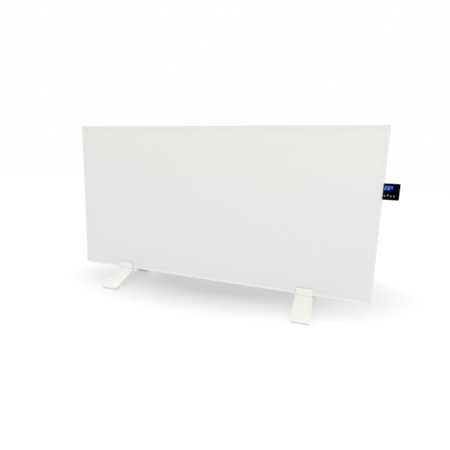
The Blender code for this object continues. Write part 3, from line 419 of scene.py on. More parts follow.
def makePaintGroup():
    # powder coat: fine orange peel, a slow drift of tone and faint specks of dust
    look = coatMix
    group, given = newGroup("powderCoat", paintLabels)
    place = given["Place"]
    driftScale = maths(group, "DIVIDE", 1.0, given["Drift Size"])
    drift = ranged(group, noise(group, place, driftScale, *look["driftDetail"]), *look["driftSteps"])
    colour = mixColours(group, drift, given["Colour"], given["Drift Colour"])
    peelScale = maths(group, "DIVIDE", 1.0, given["Peel Size"])
    peel = noise(group, place, peelScale, *look["peelDetail"])
    fine = noise(group, place, maths(group, "MULTIPLY", peelScale, look["fineScale"]), 1.0)
    height = maths(group, "MULTIPLY_ADD", fine, look["fineHeight"], peel)
    speckScale = maths(group, "MULTIPLY", peelScale, look["speckScale"])
    speck = ranged(group, noise(group, place, speckScale, *look["speckDetail"]), *look["speckSteps"])
    share = maths(group, "MULTIPLY", speck, look["speckShare"])
    colour = mixColours(group, share, colour, look["speckTone"])
    patchScale = maths(group, "MULTIPLY", driftScale, look["patchScale"])
    patch = noise(group, place, patchScale, *look["patchDetail"])
    centred = maths(group, "SUBTRACT", patch, 0.5)
    rough = maths(group, "MULTIPLY_ADD", centred, given["Roughness Spread"], given["Roughness"])
    return closeGroup(group, colour, rough, height)


grainMix = {
    "smoothness": 0.6, "fineScale": 0.7, "fineDetail": (3.0, 0.6), "flowScale": 0.012,
    "flowSteps": (0.3, 0.7),
}


def makeMouldGroup():
    # moulded plastic: spark-eroded grain with flow tone
    look = grainMix
    group, given = newGroup("mouldGrain", mouldLabels)
    place = given["Place"]
    scale = maths(group, "DIVIDE", 1.0, given["Grain Size"])
    cells = addNode(group, "TexVoronoi", Vector=place, Scale=scale, Smoothness=look["smoothness"],
                    feature="SMOOTH_F1")
    fine = noise(group, place, maths(group, "MULTIPLY", scale, look["fineScale"]), *look["fineDetail"])
    height = maths(group, "ADD", cells.outputs["Distance"], fine)
    flowScale = maths(group, "MULTIPLY", scale, look["flowScale"])
    flow = ranged(group, noise(group, place, flowScale), *look["flowSteps"])
    colour = mixColours(group, flow, given["Colour"], given["Tone"])
    centred = maths(group, "SUBTRACT", fine, 0.5)
    rough = maths(group, "MULTIPLY_ADD", centred, given["Roughness Spread"], given["Roughness"])
    return closeGroup(group, colour, rough, height)


streakMix = {
    "streakDetail": (4.0, 0.6), "dullScale": 0.08, "dullDetail": (3.0, 0.6), "dullSteps": (0.42, 0.68),
    "spreadShare": 0.5,
}


def makeMetalGroup():
    # rolled or plated metal: streaks along one axis, with duller patches
    look = streakMix
    group, given = newGroup("metalStreaks", metalLabels)
    place = given["Place"]
    stretched = addNode(group, "VectorMath", place, given["Stretch"], operation="MULTIPLY").outputs[0]
    scale = maths(group, "DIVIDE", 1.0, given["Streak Size"])
    streak = noise(group, stretched, scale, *look["streakDetail"])
    dullScale = maths(group, "MULTIPLY", scale, look["dullScale"])
    dull = ranged(group, noise(group, place, dullScale, *look["dullDetail"]), *look["dullSteps"])
    colour = mixColours(group, dull, given["Colour"], given["Dull Colour"])
    spread = maths(group, "MULTIPLY", maths(group, "ADD", streak, dull), given["Roughness Spread"])
    rough = maths(group, "MULTIPLY_ADD", spread, look["spreadShare"], given["Roughness"])
    return closeGroup(group, colour, rough, streak)


def newMaterial(slot, name, **values):
    # a Principled material whose even values are set on the shader's own sockets
    material = bpy.data.materials.new(name)
    material.use_nodes = True
    finishes[slot] = material
    tree = material.node_tree
    shader = tree.nodes["Principled BSDF"]
    feedAll(tree, shader, values)
    return tree, shader, addNode(tree, "TexCoord").outputs["Object"]


def dress(tree, shader, colour, rough, height, depth, strength=1.0):
    bump = addNode(tree, "Bump", Height=height, Distance=depth, Strength=strength)
    feedAll(tree, shader, {"Base Color": colour, "Roughness": rough, "Normal": bump.outputs["Normal"]})


def makeFamily(group, labels, looks, depth, strength, ending="Finish", **values):
    # one material for each look, with colour, roughness and height from a shared group
    for slot, look in looks.items():
        tree, shader, place = newMaterial(slot, slot + ending, **values)
        node = addNode(tree, "Group", node_tree=group, Place=place)
        feedAll(tree, node, dict(zip(labels, look)))
        dress(tree, shader, node.outputs["Colour"], node.outputs["Roughness"], node.outputs["Height"],
              depth, strength)


paintLabels = ("Colour", "Drift Colour", "Drift Size", "Peel Size", "Roughness", "Roughness Spread")
paintLook = {
    "coated_plate": (rgb(0.795, 0.795, 0.792), rgb(0.800, 0.790, 0.778), 0.55, 0.0016, 0.50, 0.05),
    "coated_frame": (rgb(0.834, 0.834, 0.831), rgb(0.829, 0.826, 0.816), 0.30, 0.0012, 0.42, 0.05),
    "coated_foot": (rgb(0.885, 0.867, 0.825), rgb(0.880, 0.858, 0.815), 0.08, 0.0012, 0.45, 0.05),
    "rear_steel": (rgb(0.740, 0.748, 0.750), rgb(0.715, 0.722, 0.722), 0.35, 0.0018, 0.48, 0.05),
}

mouldLabels = ("Colour", "Tone", "Grain Size", "Roughness", "Roughness Spread")
mouldLook = {
    "black_plastic": (rgb(0.016, 0.016, 0.018), rgb(0.024, 0.024, 0.026), 0.0007, 0.46, 0.1),
    "white_plastic": (rgb(0.785, 0.785, 0.765), rgb(0.810, 0.808, 0.790), 0.0009, 0.46, 0.1),
    "rubber": (rgb(0.030, 0.030, 0.031), rgb(0.048, 0.047, 0.045), 0.0005, 0.78, 0.1),
    "pad_rubber": (rgb(0.780, 0.770, 0.748), rgb(0.810, 0.800, 0.778), 0.0005, 0.75, 0.1),
    "relay_blue": (rgb(0.045, 0.140, 0.400), rgb(0.060, 0.165, 0.440), 0.0006, 0.36, 0.1),
    "display_blue": (rgb(0.015, 0.070, 0.320), rgb(0.025, 0.095, 0.390), 0.0005, 0.28, 0.1),
    "lead_cover": (rgb(0.320, 0.180, 0.105), rgb(0.380, 0.220, 0.135), 0.0008, 0.50, 0.1),
    "ceramic": (rgb(0.810, 0.790, 0.730), rgb(0.840, 0.825, 0.770), 0.0004, 0.55, 0.1),
}
printLook = {
    "symbolPrint": (rgb(0.31, 0.322, 0.331), rgb(0.38, 0.393, 0.402), 0.0002, 0.5, 0.1),
    "markPrint": (rgb(0.70, 0.70, 0.69), rgb(0.78, 0.78, 0.77), 0.0002, 0.5, 0.1),
}

metalLabels = ("Colour", "Dull Colour", "Streak Size", "Stretch", "Roughness", "Roughness Spread")
metalLook = {
    "zinc": (rgb(0.700, 0.700, 0.680), rgb(0.560, 0.560, 0.535), 0.0008, (1.0, 1.0, 1.0), 0.26, 0.2),
    "cast_key": (rgb(0.640, 0.650, 0.660), rgb(0.500, 0.505, 0.510), 0.0015, (1.0, 1.0, 1.0), 0.36, 0.2),
    "copper": (rgb(0.850, 0.480, 0.330), rgb(0.620, 0.310, 0.200), 0.0010, (0.04, 1.0, 1.0), 0.24, 0.2),
    "foil": (rgb(0.880, 0.885, 0.890), rgb(0.780, 0.785, 0.790), 0.0200, (1.0, 1.0, 1.0), 0.16, 0.2),
}

# painted light: where the plate's coat turns warmer and lighter towards its top, and by how much
plateTopLightTint = {"low": 0.24, "high": 0.62, "tone": rgb(1.030, 1.020, 0.992)}


def tintPlateTopLight():
    # painted light: a trace of warmer, brighter light is painted on the heated sheet's coat towards its top
    tree = finishes["coated_plate"].node_tree
    colour = tree.nodes["Principled BSDF"].inputs["Base Color"]
    parts = addNode(tree, "SeparateXYZ", addNode(tree, "TexCoord").outputs["Object"])
    mask = ranged(tree, parts.outputs["Z"], plateTopLightTint["low"], plateTopLightTint["high"])
    topLightTint = mixColours(tree, mask, colour.links[0].from_socket, plateTopLightTint["tone"], "MULTIPLY")
    feed(tree, colour, topLightTint)


carbonLook = {
    "film": rgb(0.150, 0.130, 0.090), "print": rgb(0.018, 0.018, 0.020), "worn": rgb(0.040, 0.040, 0.043),
    "bandScale": 26.0, "bandSteps": (0.18, 0.26), "grainScale": 900.0, "grainDetail": 3.0,
    "roughness": (0.42, 0.66), "gloss": 0.4, "depth": 0.00003,
}


def makeCarbonFilm():
    # heating film: dark carbon print in narrow bands between the busbars
    look = carbonLook
    tree, shader, place = newMaterial("carbon_film", "carbonFilmFinish", Specular_IOR_Level=look["gloss"])
    bands = addNode(tree, "TexWave", Vector=place, Scale=look["bandScale"], Distortion=0.0,
                    bands_direction="X")
    grain = noise(tree, place, look["grainScale"], look["grainDetail"])
    mask = ranged(tree, bands.outputs["Fac"], *look["bandSteps"])
    printed = mixColours(tree, grain, look["print"], look["worn"])
    colour = mixColours(tree, mask, look["film"], printed)
    dress(tree, shader, colour, ranged(tree, grain, 0.0, 1.0, *look["roughness"]), mask, look["depth"])


woolLook = {
    "shade": rgb(0.520, 0.440, 0.260), "fibre": rgb(0.700, 0.640, 0.450), "tuft": rgb(0.640, 0.580, 0.420),
    "fibreScale": 260.0, "fibreCurl": 22.0, "tuftScale": 70.0, "tuftDetail": (4.0, 0.65),
    "tuftSteps": (0.35, 0.65), "roughness": (0.85, 1.0), "sheen": 0.3, "depth": 0.0004,
}


def makeMineralWool():
    # pressed mat: matted fibres and lighter tufts
    look = woolLook
    tree, shader, place = newMaterial("mineral_wool", "mineralWoolFinish", Sheen_Weight=look["sheen"])
    fibres = addNode(tree, "TexWave", Vector=place, Scale=look["fibreScale"], Distortion=look["fibreCurl"],
                     Detail=4.0, Detail_Scale=2.5, bands_direction="DIAGONAL").outputs["Fac"]
    tufts = ranged(tree, noise(tree, place, look["tuftScale"], *look["tuftDetail"]), *look["tuftSteps"])
    colour = mixColours(tree, fibres, look["shade"], look["fibre"])
    colour = mixColours(tree, tufts, colour, look["tuft"])
    rough = ranged(tree, tufts, 0.0, 1.0, *look["roughness"])
    dress(tree, shader, colour, rough, maths(tree, "ADD", fibres, tufts), look["depth"])


boardLook = {
    "mask": rgb(0.022, 0.150, 0.060), "track": rgb(0.045, 0.235, 0.100), "pad": rgb(0.720, 0.700, 0.640),
    "trackScale": (300.0, 300.0, 300.0), "padScale": 420.0, "padSpread": 0.7, "padSteps": (0.20, 0.16),
    "glossScale": 500.0, "roughness": (0.28, 0.48), "depth": 0.00006,
}


def makeCircuitBoard():
    # solder mask over a net of copper tracks, with tinned pads
    look = boardLook
    tree, shader, place = newMaterial("circuit_board", "circuitBoardFinish")
    scaled = addNode(tree, "Mapping", Vector=place, Scale=look["trackScale"]).outputs[0]
    swapped = addNode(tree, "VectorRotate", Vector=scaled, Angle=math.pi / 2, rotation_type="X_AXIS")
    tracks = addNode(tree, "TexBrick", Vector=swapped.outputs[0], Scale=1.0, Mortar_Size=0.14,
                     Mortar_Smooth=0.1, Brick_Width=1.7, Row_Height=0.62, offset=0.37).outputs["Fac"]
    spots = addNode(tree, "TexVoronoi", Vector=place, Scale=look["padScale"], Randomness=look["padSpread"])
    pads = ranged(tree, spots.outputs["Distance"], *look["padSteps"])
    colour = mixColours(tree, tracks, look["mask"], look["track"])
    colour = mixColours(tree, pads, colour, look["pad"])
    feed(tree, shader.inputs["Metallic"], pads)
    rough = ranged(tree, noise(tree, place, look["glossScale"]), 0.0, 1.0, *look["roughness"])
    dress(tree, shader, colour, rough, maths(tree, "ADD", tracks, pads), look["depth"])


glassLook = {
    "black": rgb(0.0010, 0.0011, 0.0015), "smeared": rgb(0.0026, 0.0027, 0.0032), "gloss": 0.006,
    "wipeTurn": 24, "wipeScale": (30.0, 60.0, 160.0), "wipeDetail": (1.0, 3.0, 0.6), "wipeSteps": (0.5, 0.8),
    "printScale": 900.0, "printSteps": (0.3, 0.7), "roughness": (0.045, 0.16), "waveDetail": (45.0, 1.0),
    "depth": 0.00002,
}


def makeBlackGlass():
    # back-printed glass: near black, with a trace of wiping marks in the gloss
    look = glassLook
    tree, shader, place = newMaterial("black_glass", "blackGlassFinish", IOR=1.45,
                                      Specular_IOR_Level=look["gloss"])
    wipe = addNode(tree, "Mapping", Vector=place, Rotation=(0.0, math.radians(look["wipeTurn"]), 0.0),
                   Scale=look["wipeScale"]).outputs[0]
    marks = ranged(tree, noise(tree, wipe, *look["wipeDetail"]), *look["wipeSteps"])
    prints = ranged(tree, noise(tree, place, look["printScale"]), *look["printSteps"])
    smear = maths(tree, "MULTIPLY", marks, prints)
    colour = mixColours(tree, smear, look["black"], look["smeared"])
    rough = ranged(tree, smear, 0.0, 1.0, *look["roughness"])
    dress(tree, shader, colour, rough, noise(tree, place, *look["waveDetail"]), look["depth"])


windowGlow = {
    "centre": (0.587, 0.0, 0.4565), "half": (0.0150, 1.0, 0.0125), "soft": 0.55, "grainScale": 1500.0,
    "grainDepth": (0.85, 1.0), "blue": rgb(0.0006, 0.0055, 0.0960), "film": rgb(0.0010, 0.0012, 0.0030),
    "roughness": 0.06,
}


def makeDisplayWindow():
    # dark film that shows blue round the lit figures and fades towards its edges
    look = windowGlow
    tree, shader, place = newMaterial("displayWindow", "displayWindow", Roughness=look["roughness"],
                                      Specular_IOR_Level=glassLook["gloss"], Emission_Strength=1.0)
    centred = addNode(tree, "Mapping", Vector=place, Location=look["centre"], Scale=look["half"],
                      vector_type="TEXTURE")
    parts = addNode(tree, "SeparateXYZ", centred.outputs[0])
    sides = [ranged(tree, maths(tree, "ABSOLUTE", parts.outputs[axis]), 1.0, 1.0 - look["soft"])
             for axis in ("X", "Z")]
    mask = maths(tree, "MULTIPLY", *sides)
    grain = ranged(tree, noise(tree, place, look["grainScale"]), 0.0, 1.0, *look["grainDepth"])
    glow = mixColours(tree, maths(tree, "MULTIPLY", mask, grain), grey(0), look["blue"])
    base = mixColours(tree, mask, glassLook["black"], look["film"])
    feedAll(tree, shader, {"Emission Color": glow, "Base Color": base})


glowLook = {
    "digitGlow": (rgb(0.015, 0.120, 0.750), rgb(0.100, 0.300, 0.960), 1.5),
    "degreeGlow": (rgb(0.120, 0.270, 0.700), rgb(0.270, 0.480, 0.960), 1.1),
}
diffuserLook = {
    "dot": 0.0005, "dotSpread": 0.2, "dotSteps": (0.6, 0.0), "dotShare": 0.3, "cloudScale": 0.2,
    "cloudSteps": (0.3, 0.7), "cloudShare": 0.7, "low": rgb(0.004, 0.008, 0.03),
    "high": rgb(0.01, 0.02, 0.06), "roughness": 0.35, "gloss": 0.1,
}


def makeGlow(name, dim, bright, strength):
    # light behind the glass, uneven like a diffuser's, with its fine dots
    look = diffuserLook
    dot = look["dot"]
    tree, shader, place = newMaterial(name, name, Roughness=look["roughness"],
                                      Specular_IOR_Level=look["gloss"], Emission_Strength=strength)
    dots = addNode(tree, "TexVoronoi", Vector=place, Scale=1.0 / dot, Randomness=look["dotSpread"])
    dotted = ranged(tree, dots.outputs["Distance"], *look["dotSteps"])
    cloud = ranged(tree, noise(tree, place, look["cloudScale"] / dot), *look["cloudSteps"])
    clouded = maths(tree, "MULTIPLY", cloud, look["cloudShare"])
    lit = maths(tree, "MULTIPLY_ADD", dotted, look["dotShare"], clouded)
    base = mixColours(tree, lit, look["low"], look["high"])
    feedAll(tree, shader, {"Emission Color": mixColours(tree, lit, dim, bright), "Base Color": base})


mouldGroup = makeMouldGroup()
makeFamily(makePaintGroup(), paintLabels, paintLook, depth=0.00004, strength=0.35)
tintPlateTopLight()
makeFamily(mouldGroup, mouldLabels, mouldLook, depth=0.00005, strength=0.4)
makeFamily(makeMetalGroup(), metalLabels, metalLook, depth=0.00006, strength=0.5, Metallic=1.0)
print("shared groups used by", len(finishes), "finishes")
makeCarbonFilm()
makeMineralWool()
makeCircuitBoard()
makeBlackGlass()
makeFamily(mouldGroup, mouldLabels, printLook, depth=0.00001, strength=0.3, ending="")
makeDisplayWindow()
for glowName, glow in glowLook.items():
    makeGlow(glowName, *glow)
print("finishes made:", len(finishes))


# Finishes for the construction's own pieces

nodeSlots = {
    "coated_plate": ["front_plate"],
    "cast_key": ["corner_key_lower_left", "corner_key_lower_right", "corner_key_upper_right",
                 "corner_key_upper_left"],
    "carbon_film": ["heating_film"],
    "copper": ["busbar_lower", "busbar_upper"],
    "foil": ["reflective_foil"],
    "mineral_wool": ["insulation_mat"],
    "ceramic": ["thermal_cutout", "terminal_block"],
    "lead_cover": ["live_lead", "neutral_lead", "temperature_probe"],
    "rubber": ["link_cable"],
    "black_plastic": ["tilt_switch_case"],
    "zinc": ["tilt_pendulum", "control_mount_screw_lower", "control_mount_screw_upper"],
    "circuit_board": ["touch_board", "power_board"],
    "relay_blue": ["relay"],
    "display_blue": ["display_module"],
}

for slot, names in nodeSlots.items():
    for name in names:
        setFinish(nodes[name], slot)
print("construction's pieces dressed")


# Aluminium frame: four channel bars, mitred at the corners

barLook = {
    "wall": 1.6, "lipWide": 10.0, "lipBack": -10.5, "ledgeWide": 11.0, "ledgeFront": 9.1,
    "ledgeBack": 10.6, "halfDepth": 12.0, "outerRound": 1.0, "lipRound": 0.15, "rimWide": 4.4,
    "rimStep": 1.2, "mitreGap": 0.15, "burrRound": 0.1,
}

barPlaces = {
    "bottom": (panelWide, (0, 0, 0), 0),
    "right": (panelHigh, (panelWide / 2, 0, panelHigh / 2), -90),
    "top": (panelWide, (0, 0, panelHigh), 180),
    "left": (panelHigh, (-panelWide / 2, 0, panelHigh / 2), 90),
}


def makeBar(side, length, middle, degrees):
    # the bar is shaped with its outer wall down, then turned to its side of the panel
    look = barLook
    half, depth = length / 2, look["halfDepth"]
    bar = addBox("barBlank", (-half, -depth, 0), (half, depth, look["wall"]))
    startEdit(bar)
    for deep in (look["lipBack"], look["ledgeFront"], look["ledgeBack"]):
        sliceAt((0, deep, 0), (0, 1, 0))
    pick(bar, "FACE", lambda p, n: n.z > 0.9 and p.y < look["lipBack"])
    extrudePicked(0, 0, look["lipWide"] - look["wall"])
    sliceAt((0, 0, look["rimWide"]), (0, 0, 1))
    pick(bar, "EDGE", lambda p, d: abs(d.x) > 0.9 and near(p.y, -depth) and p.z > look["wall"] + 0.5)
    bpy.ops.transform.translate(value=(0, look["rimStep"] / 1000, 0))
    pick(bar, "FACE", lambda p, n: n.z > 0.9 and look["ledgeFront"] < p.y < look["ledgeBack"])
    extrudePicked(0, 0, look["ledgeWide"] - look["wall"])
    pick(bar, "EDGE", lambda p, d: abs(d.x) > 0.9 and near(abs(p.y), depth) and near(p.z, 0))
    roundPicked(look["outerRound"], 5)
    pickEdges(bar, "x", y=look["rimStep"] - depth, z=look["lipWide"])
    roundPicked(look["lipRound"], 3)
    for end in (-1, 1):
        slant = Vector((end, 0, 1)).normalized()
        sliceAt(Vector((end * half, 0, 0)) - slant * look["mitreGap"], slant, keep="inner")
    endEdit()
    softenEdges(bar, look["burrRound"], 1, 40)
    piece = copyPiece(bar, side + "Bar", turned("Y", degrees), middle)
    drop(bar)
    finishPiece(piece, "coated_frame", "frame_" + side)


for side, place in barPlaces.items():
    makeBar(side, *place)
print("frame bars made")


# Rear cover: a sheet with a pressed field

coverLook = {
    "reach": 595.6, "low": 1.9, "high": 593.1, "front": 10.9, "fieldInset": 32.6, "cornerRound": 16.0,
    "slope": 4.0, "raised": 1.5, "pressRound": 1.1, "footBand": 2.0, "thick": 0.8,
    "leadSlot": ((543.3, 5, 365.5), (559.3, 20, 399.5)), "slotRound": 3.0, "screwHole": 1.8,
    "holeReach": (5, 20), "screwGrip": 6.0, "screwRows": {"lower": 5.3, "upper": 589.7},
    "screwColumns": {"left": -570.5, "middle": 0, "right": 570.5}, "screwSeat": 12.0,
}

coverScrews = {(row, column): (across, coverLook["screwSeat"], up)
               for row, up in coverLook["screwRows"].items()
               for column, across in coverLook["screwColumns"].items()}


def drillBack(piece, places, start, end):
    for place in places:
        drill(piece, coverLook["screwHole"], "y", place, start, end)


def leadSlot():
    # what cuts the leads' way through the cover and the box
    return roundAlong(addBox("leadSlot", *coverLook["leadSlot"]), "y", coverLook["slotRound"], 4)


def makeRearCover():
    look = coverLook
    inset, front, raised = look["fieldInset"], look["front"], look["raised"]
    reach, low, high = look["reach"], look["low"], look["high"]
    cover = addSheet("rearCover", (inset - reach, front, low + inset), (reach - inset, front, high - inset),
                     "back")
    startEdit(cover)
    bpy.ops.mesh.select_all(action="SELECT")
    roundPicked(look["cornerRound"], 8, "VERTICES")
    pick(cover, "FACE", lambda p, n: True)
    insetPicked(look["footBand"])
    pick(cover, "FACE", lambda p, n: near(p.x, 0, 5) and near(p.z, panelHigh / 2, 5))
    insetPicked(look["slope"], raised)
    pick(cover, "VERT", lambda p, n: near(p.y, front + raised))
    bpy.ops.mesh.select_mode(type="EDGE")
    roundPicked(look["pressRound"], 3)
    endEdit()

    # the flat band round the field is filled in between the field and a rim without a face
    rim = addSheet("coverRim", (-reach, front, low), (reach, front, high), "back")
    startEdit(rim)
    bpy.ops.mesh.select_all(action="SELECT")
    bpy.ops.mesh.delete(type="ONLY_FACE")
    endEdit()
    startEdit(joinPieces("rearCover", [cover, rim]))
    bpy.ops.mesh.select_mode(type="EDGE")
    bpy.ops.mesh.select_non_manifold(extend=False, use_wire=True, use_boundary=True, use_multi_face=False,
                                     use_non_contiguous=False, use_verts=False)
    bpy.ops.mesh.fill(use_beauty=True)
    bpy.ops.mesh.select_all(action="SELECT")
    bpy.ops.mesh.normals_make_consistent(inside=False)
    cage = bmesh.from_edit_mesh(cover.data)
    if sum(face.normal.y * face.calc_area() for face in cage.faces) < 0:
        bpy.ops.mesh.flip_normals()
    endEdit()
    thicken(cover, look["thick"], offset=1.0)
    cutWith(cover, leadSlot())
    drillBack(cover, (*coverScrews.values(), *boxLook["screws"].values()), *look["holeReach"])
    finishPiece(cover, "rear_steel", "rear_cover")


# Screws: pan heads with a cross recess, shaped once at the panel's origin with the shank down

screwLook = {
    "small": {"head": 2.8, "height": 1.7, "dome": 1.0, "shank": 1.5, "recess": (0.75, 3.4, 1.0)},
    "large": {"head": 4.6, "height": 2.6, "dome": 1.5, "shank": 2.4, "recess": (1.1, 5.4, 1.5)},
}
recessTaper, recessOver, screwPoint, screwBurr = 0.2, 1, 0.6, 0.06


def makeScrew(kind, grip):
    look = screwLook[kind]
    head, height = look["head"], look["height"]
    screw = addRod("screwBlank", head, (0, 0, 0), (0, 0, height), 40)
    roundFaces(screw, look["dome"], 5, "top")
    startEdit(screw)
    pickFaces(screw, "bottom")
    insetPicked(head - look["shank"])
    extrudePicked(0, 0, -grip)
    roundPicked(look["shank"] * screwPoint, 2)
    endEdit()
    width, length, deep = look["recess"]
    for long, wide in ((length, width), (width, length)):
        arm = addBox("recess", (-long / 2, -wide / 2, height - deep),
                     (long / 2, wide / 2, height + recessOver))
        startEdit(arm)
        pickFaces(arm, "bottom")
        bpy.ops.mesh.inset(thickness=width * recessTaper / 1000)
        endEdit()
        cutWith(screw, arm)
    softenEdges(screw, screwBurr, 1, 50)
    return screw


def placeScrews(kind, grip, title, node, places):
    # one screw in the back for each place
    screw = makeScrew(kind, grip)
    for (row, column), place in places.items():
        piece = copyPiece(screw, title + row.title() + column.title(), turned("X", -90), place)
        finishPiece(piece, "zinc", "_".join((node, row, column)))
    drop(screw)


# Terminal box on the rear cover

boxLook = {
    "low": (472.5, 13.5, 352.5), "high": (580.5, 35.5, 422.5), "cornerRound": 4.0, "wall": 2.0,
    "rimRound": 0.5, "postRadius": 3.6, "postGap": 0.3, "baseReach": (5, 45), "lidReach": (30, 45),
    "lidBack": 38.3, "lidFront": 35.8, "lidRound": 1.0, "lidBand": 1.4, "lidGroove": 0.4, "lidBurr": 0.12,
    "screws": {("upper", "left"): (479.3, 38.6, 415.7), ("lower", "right"): (573.7, 38.6, 359.3)},
    "screwGrip": 26.0, "glandHole": 7.3, "glandReach": (349.5, 356.5),
}


def roundedSlab(name, low, high, cornerRound, segments=7):
    # a slab seen from the back, with its four corners rounded
    return roundAlong(addBox(name, low, high), "y", cornerRound, segments)


def makeTerminalBox():
    look = boxLook
    low, high = look["low"], look["high"]
    floor, screws = low[1] + look["wall"], look["screws"].values()
    base = roundedSlab("terminalBoxBase", low, high, look["cornerRound"])
    startEdit(base)
    pickFaces(base, "back")
    insetPicked(look["wall"])
    extrudePicked(0, floor - high[1], 0)
    endEdit()
    for place in screws:
        weldRod(base, look["postRadius"], "y", place, floor - look["wall"] / 2,
                high[1] - look["postGap"], 28)
        drillBack(base, [place], *look["baseReach"])
    cutWith(base, leadSlot())
    drill(base, look["glandHole"], "z", glandLook["middle"], *look["glandReach"], 40)
    softenEdges(base, look["rimRound"], 2, 50)
    finishPiece(base, "white_plastic", "terminal_box_base")

    lid = roundedSlab("terminalBoxLid", (low[0], look["lidFront"], low[2]),
                      (high[0], look["lidBack"], high[2]), look["cornerRound"])
    startEdit(lid)
    pickFaces(lid, "back")
    roundPicked(look["lidRound"], 3)
    pickFaces(lid, "back", limit=0.99)
    insetPicked(look["lidBand"])
    for deep in (-look["lidGroove"], look["lidGroove"]):
        insetPicked(look["lidGroove"], deep)
    endEdit()
    drillBack(lid, screws, *look["lidReach"])
    softenEdges(lid, look["lidBurr"], 1, 50)
    finishPiece(lid, "white_plastic", "terminal_box_lid")


# Cable gland under the terminal box

glandLook = {
    "middle": (508.5, 25.5, 0), "hexLow": 347.7, "hexHigh": 352.2, "hexRadius": 9.8, "hexRound": 0.8,
    "hexEdge": 0.5, "neckRadius": 7.0, "neckLow": 339.7, "neckHigh": 359.5, "boreRadius": 4.5,
    "bodyBurr": 0.15, "nutLow": 333.4, "nutHigh": 347.4, "nutRadius": 9.2, "nutDome": 4.0, "nutBore": 4.0,
    "nutRoof": 339.4, "nutInner": 7.3, "nutBurr": 0.12, "ribCount": 16, "ribLow": 0.8, "ribHigh": 1.4,
    "ribSink": 0.5,
}


def makeGland():
    look = glandLook
    middle = look["middle"]
    hexEnds = along("z", middle, look["hexLow"], look["hexHigh"])
    body = roundAlong(addRod("glandBody", look["hexRadius"], *hexEnds, 6), "z", look["hexRound"], 3)
    roundFaces(body, look["hexEdge"], 2, "top", "bottom")
    weldRod(body, look["neckRadius"], "z", middle, look["neckLow"], look["neckHigh"], 48)
    drill(body, look["boreRadius"], "z", middle, look["neckLow"] - overshoot,
          look["neckHigh"] + overshoot, 40)
    softenEdges(body, look["bodyBurr"], 1, 50)
    finishPiece(body, "white_plastic", "cable_gland_body")

    low, high = look["nutLow"], look["nutHigh"]
    gripLow, gripHigh = low + look["nutDome"] + look["ribLow"], high - look["ribHigh"]
    nut = addRod("glandNut", look["nutRadius"], *along("z", middle, low, high), look["ribCount"] * 4)
    startEdit(nut)
    for level in (gripLow, gripHigh):
        sliceAt((0, 0, level), (0, 0, 1))
    pickFaces(nut, "bottom")
    roundPicked(look["nutDome"], 7)

    def between(p, n):
        angle = math.atan2(p.y - middle[1], p.x - middle[0]) / math.tau * look["ribCount"] % 1
        return abs(n.z) < 0.1 and gripLow < p.z < gripHigh and angle < 0.5

    pick(nut, "FACE", between)
    bpy.ops.mesh.extrude_region_shrink_fatten(TRANSFORM_OT_shrink_fatten={"value": -look["ribSink"] / 1000})
    endEdit()
    drill(nut, look["nutInner"], "z", middle, look["nutRoof"], high + overshoot, 48)
    drill(nut, look["nutBore"], "z", middle, low - overshoot, high, 40)
    softenEdges(nut, look["nutBurr"], 1, 50)
    finishPiece(nut, "white_plastic", "cable_gland_nut")


makeRearCover()
makeTerminalBox()
makeGland()
print("rear cover, terminal box and gland made")


# Feet: bent sheet steel, two saddles and four legs

footLook = {
    "left": -385.0, "right": 373.0, "steel": 2.5, "saddleHalf": 30.0, "saddleInner": 12.3,
    "webMiddle": -1.55, "saddleBend": 0.6, "saddleFillet": 0.7, "lipTop": 24.5, "lipCorner": 3.0,
    "edge": 0.55, "legMiddle": -4.35, "legStart": 1.0, "shoulder": 15.6, "legBend": 4.0, "slope": 23.142,
    "run": 113.365, "toeBend": 2.2, "toeFlange": 15.0, "topHalf": 31.5, "toeHalf": 34.0, "toeRound": 4.5,
    "tip": 124.3, "screwAcross": 16.8, "screwDeep": 6.0, "screwSeat": -5.9, "screwGrip": 13.5,
    "screwHole": 2.7, "holeReach": (-12, 5), "blankHalf": 40, "trimReach": (-70, 10), "weld": 0.002,
}


def drillFoot(piece, across, deep):
    drill(piece, footLook["screwHole"], "z", (across, deep, 0), *footLook["holeReach"], 24)


def makeSaddle(name, centre, node):
    look = footLook
    half, steel = look["saddleHalf"], look["steel"]
    wall, web = look["saddleInner"] + steel / 2, look["webMiddle"]
    saddle = addSheet(name, (centre - half, -wall, web), (centre + half, wall, web))
    startEdit(saddle)
    pickEdges(saddle, "x")
    extrudePicked(0, 0, look["lipTop"] - web)
    endEdit()
    thicken(saddle, steel)
    startEdit(saddle)
    pickEdges(saddle, "y", z=look["lipTop"])
    roundPicked(look["lipCorner"], 6)
    for level, radius in ((web - steel / 2, look["saddleBend"]), (web + steel / 2, look["saddleFillet"])):
        pickEdges(saddle, "x", z=level)
        roundPicked(radius, 4)
    endEdit()
    for end in (-1, 1):
        drillFoot(saddle, centre + end * look["screwAcross"], end * look["screwDeep"])
    softenEdges(saddle, look["edge"], 2, 40)
    finishPiece(saddle, "coated_foot", node)


def legTrim():
    # the outline of a leg from above
    look = footLook
    low, high = look["trimReach"]
    trim = addBox("legTrim", (-look["toeHalf"], 0, low), (look["toeHalf"], look["tip"], high))
    startEdit(trim)
    pickEdges(trim, "z", y=look["tip"])
    roundPicked(look["toeRound"], 7)
    taper = look["toeHalf"] - look["topHalf"]
    for side in (-1, 1):
        slant = Vector((side * (look["tip"] - look["toeRound"]), -taper, 0)).normalized()
        sliceAt((side * look["topHalf"], 0, 0), slant, keep="inner")
    endEdit()
    return trim


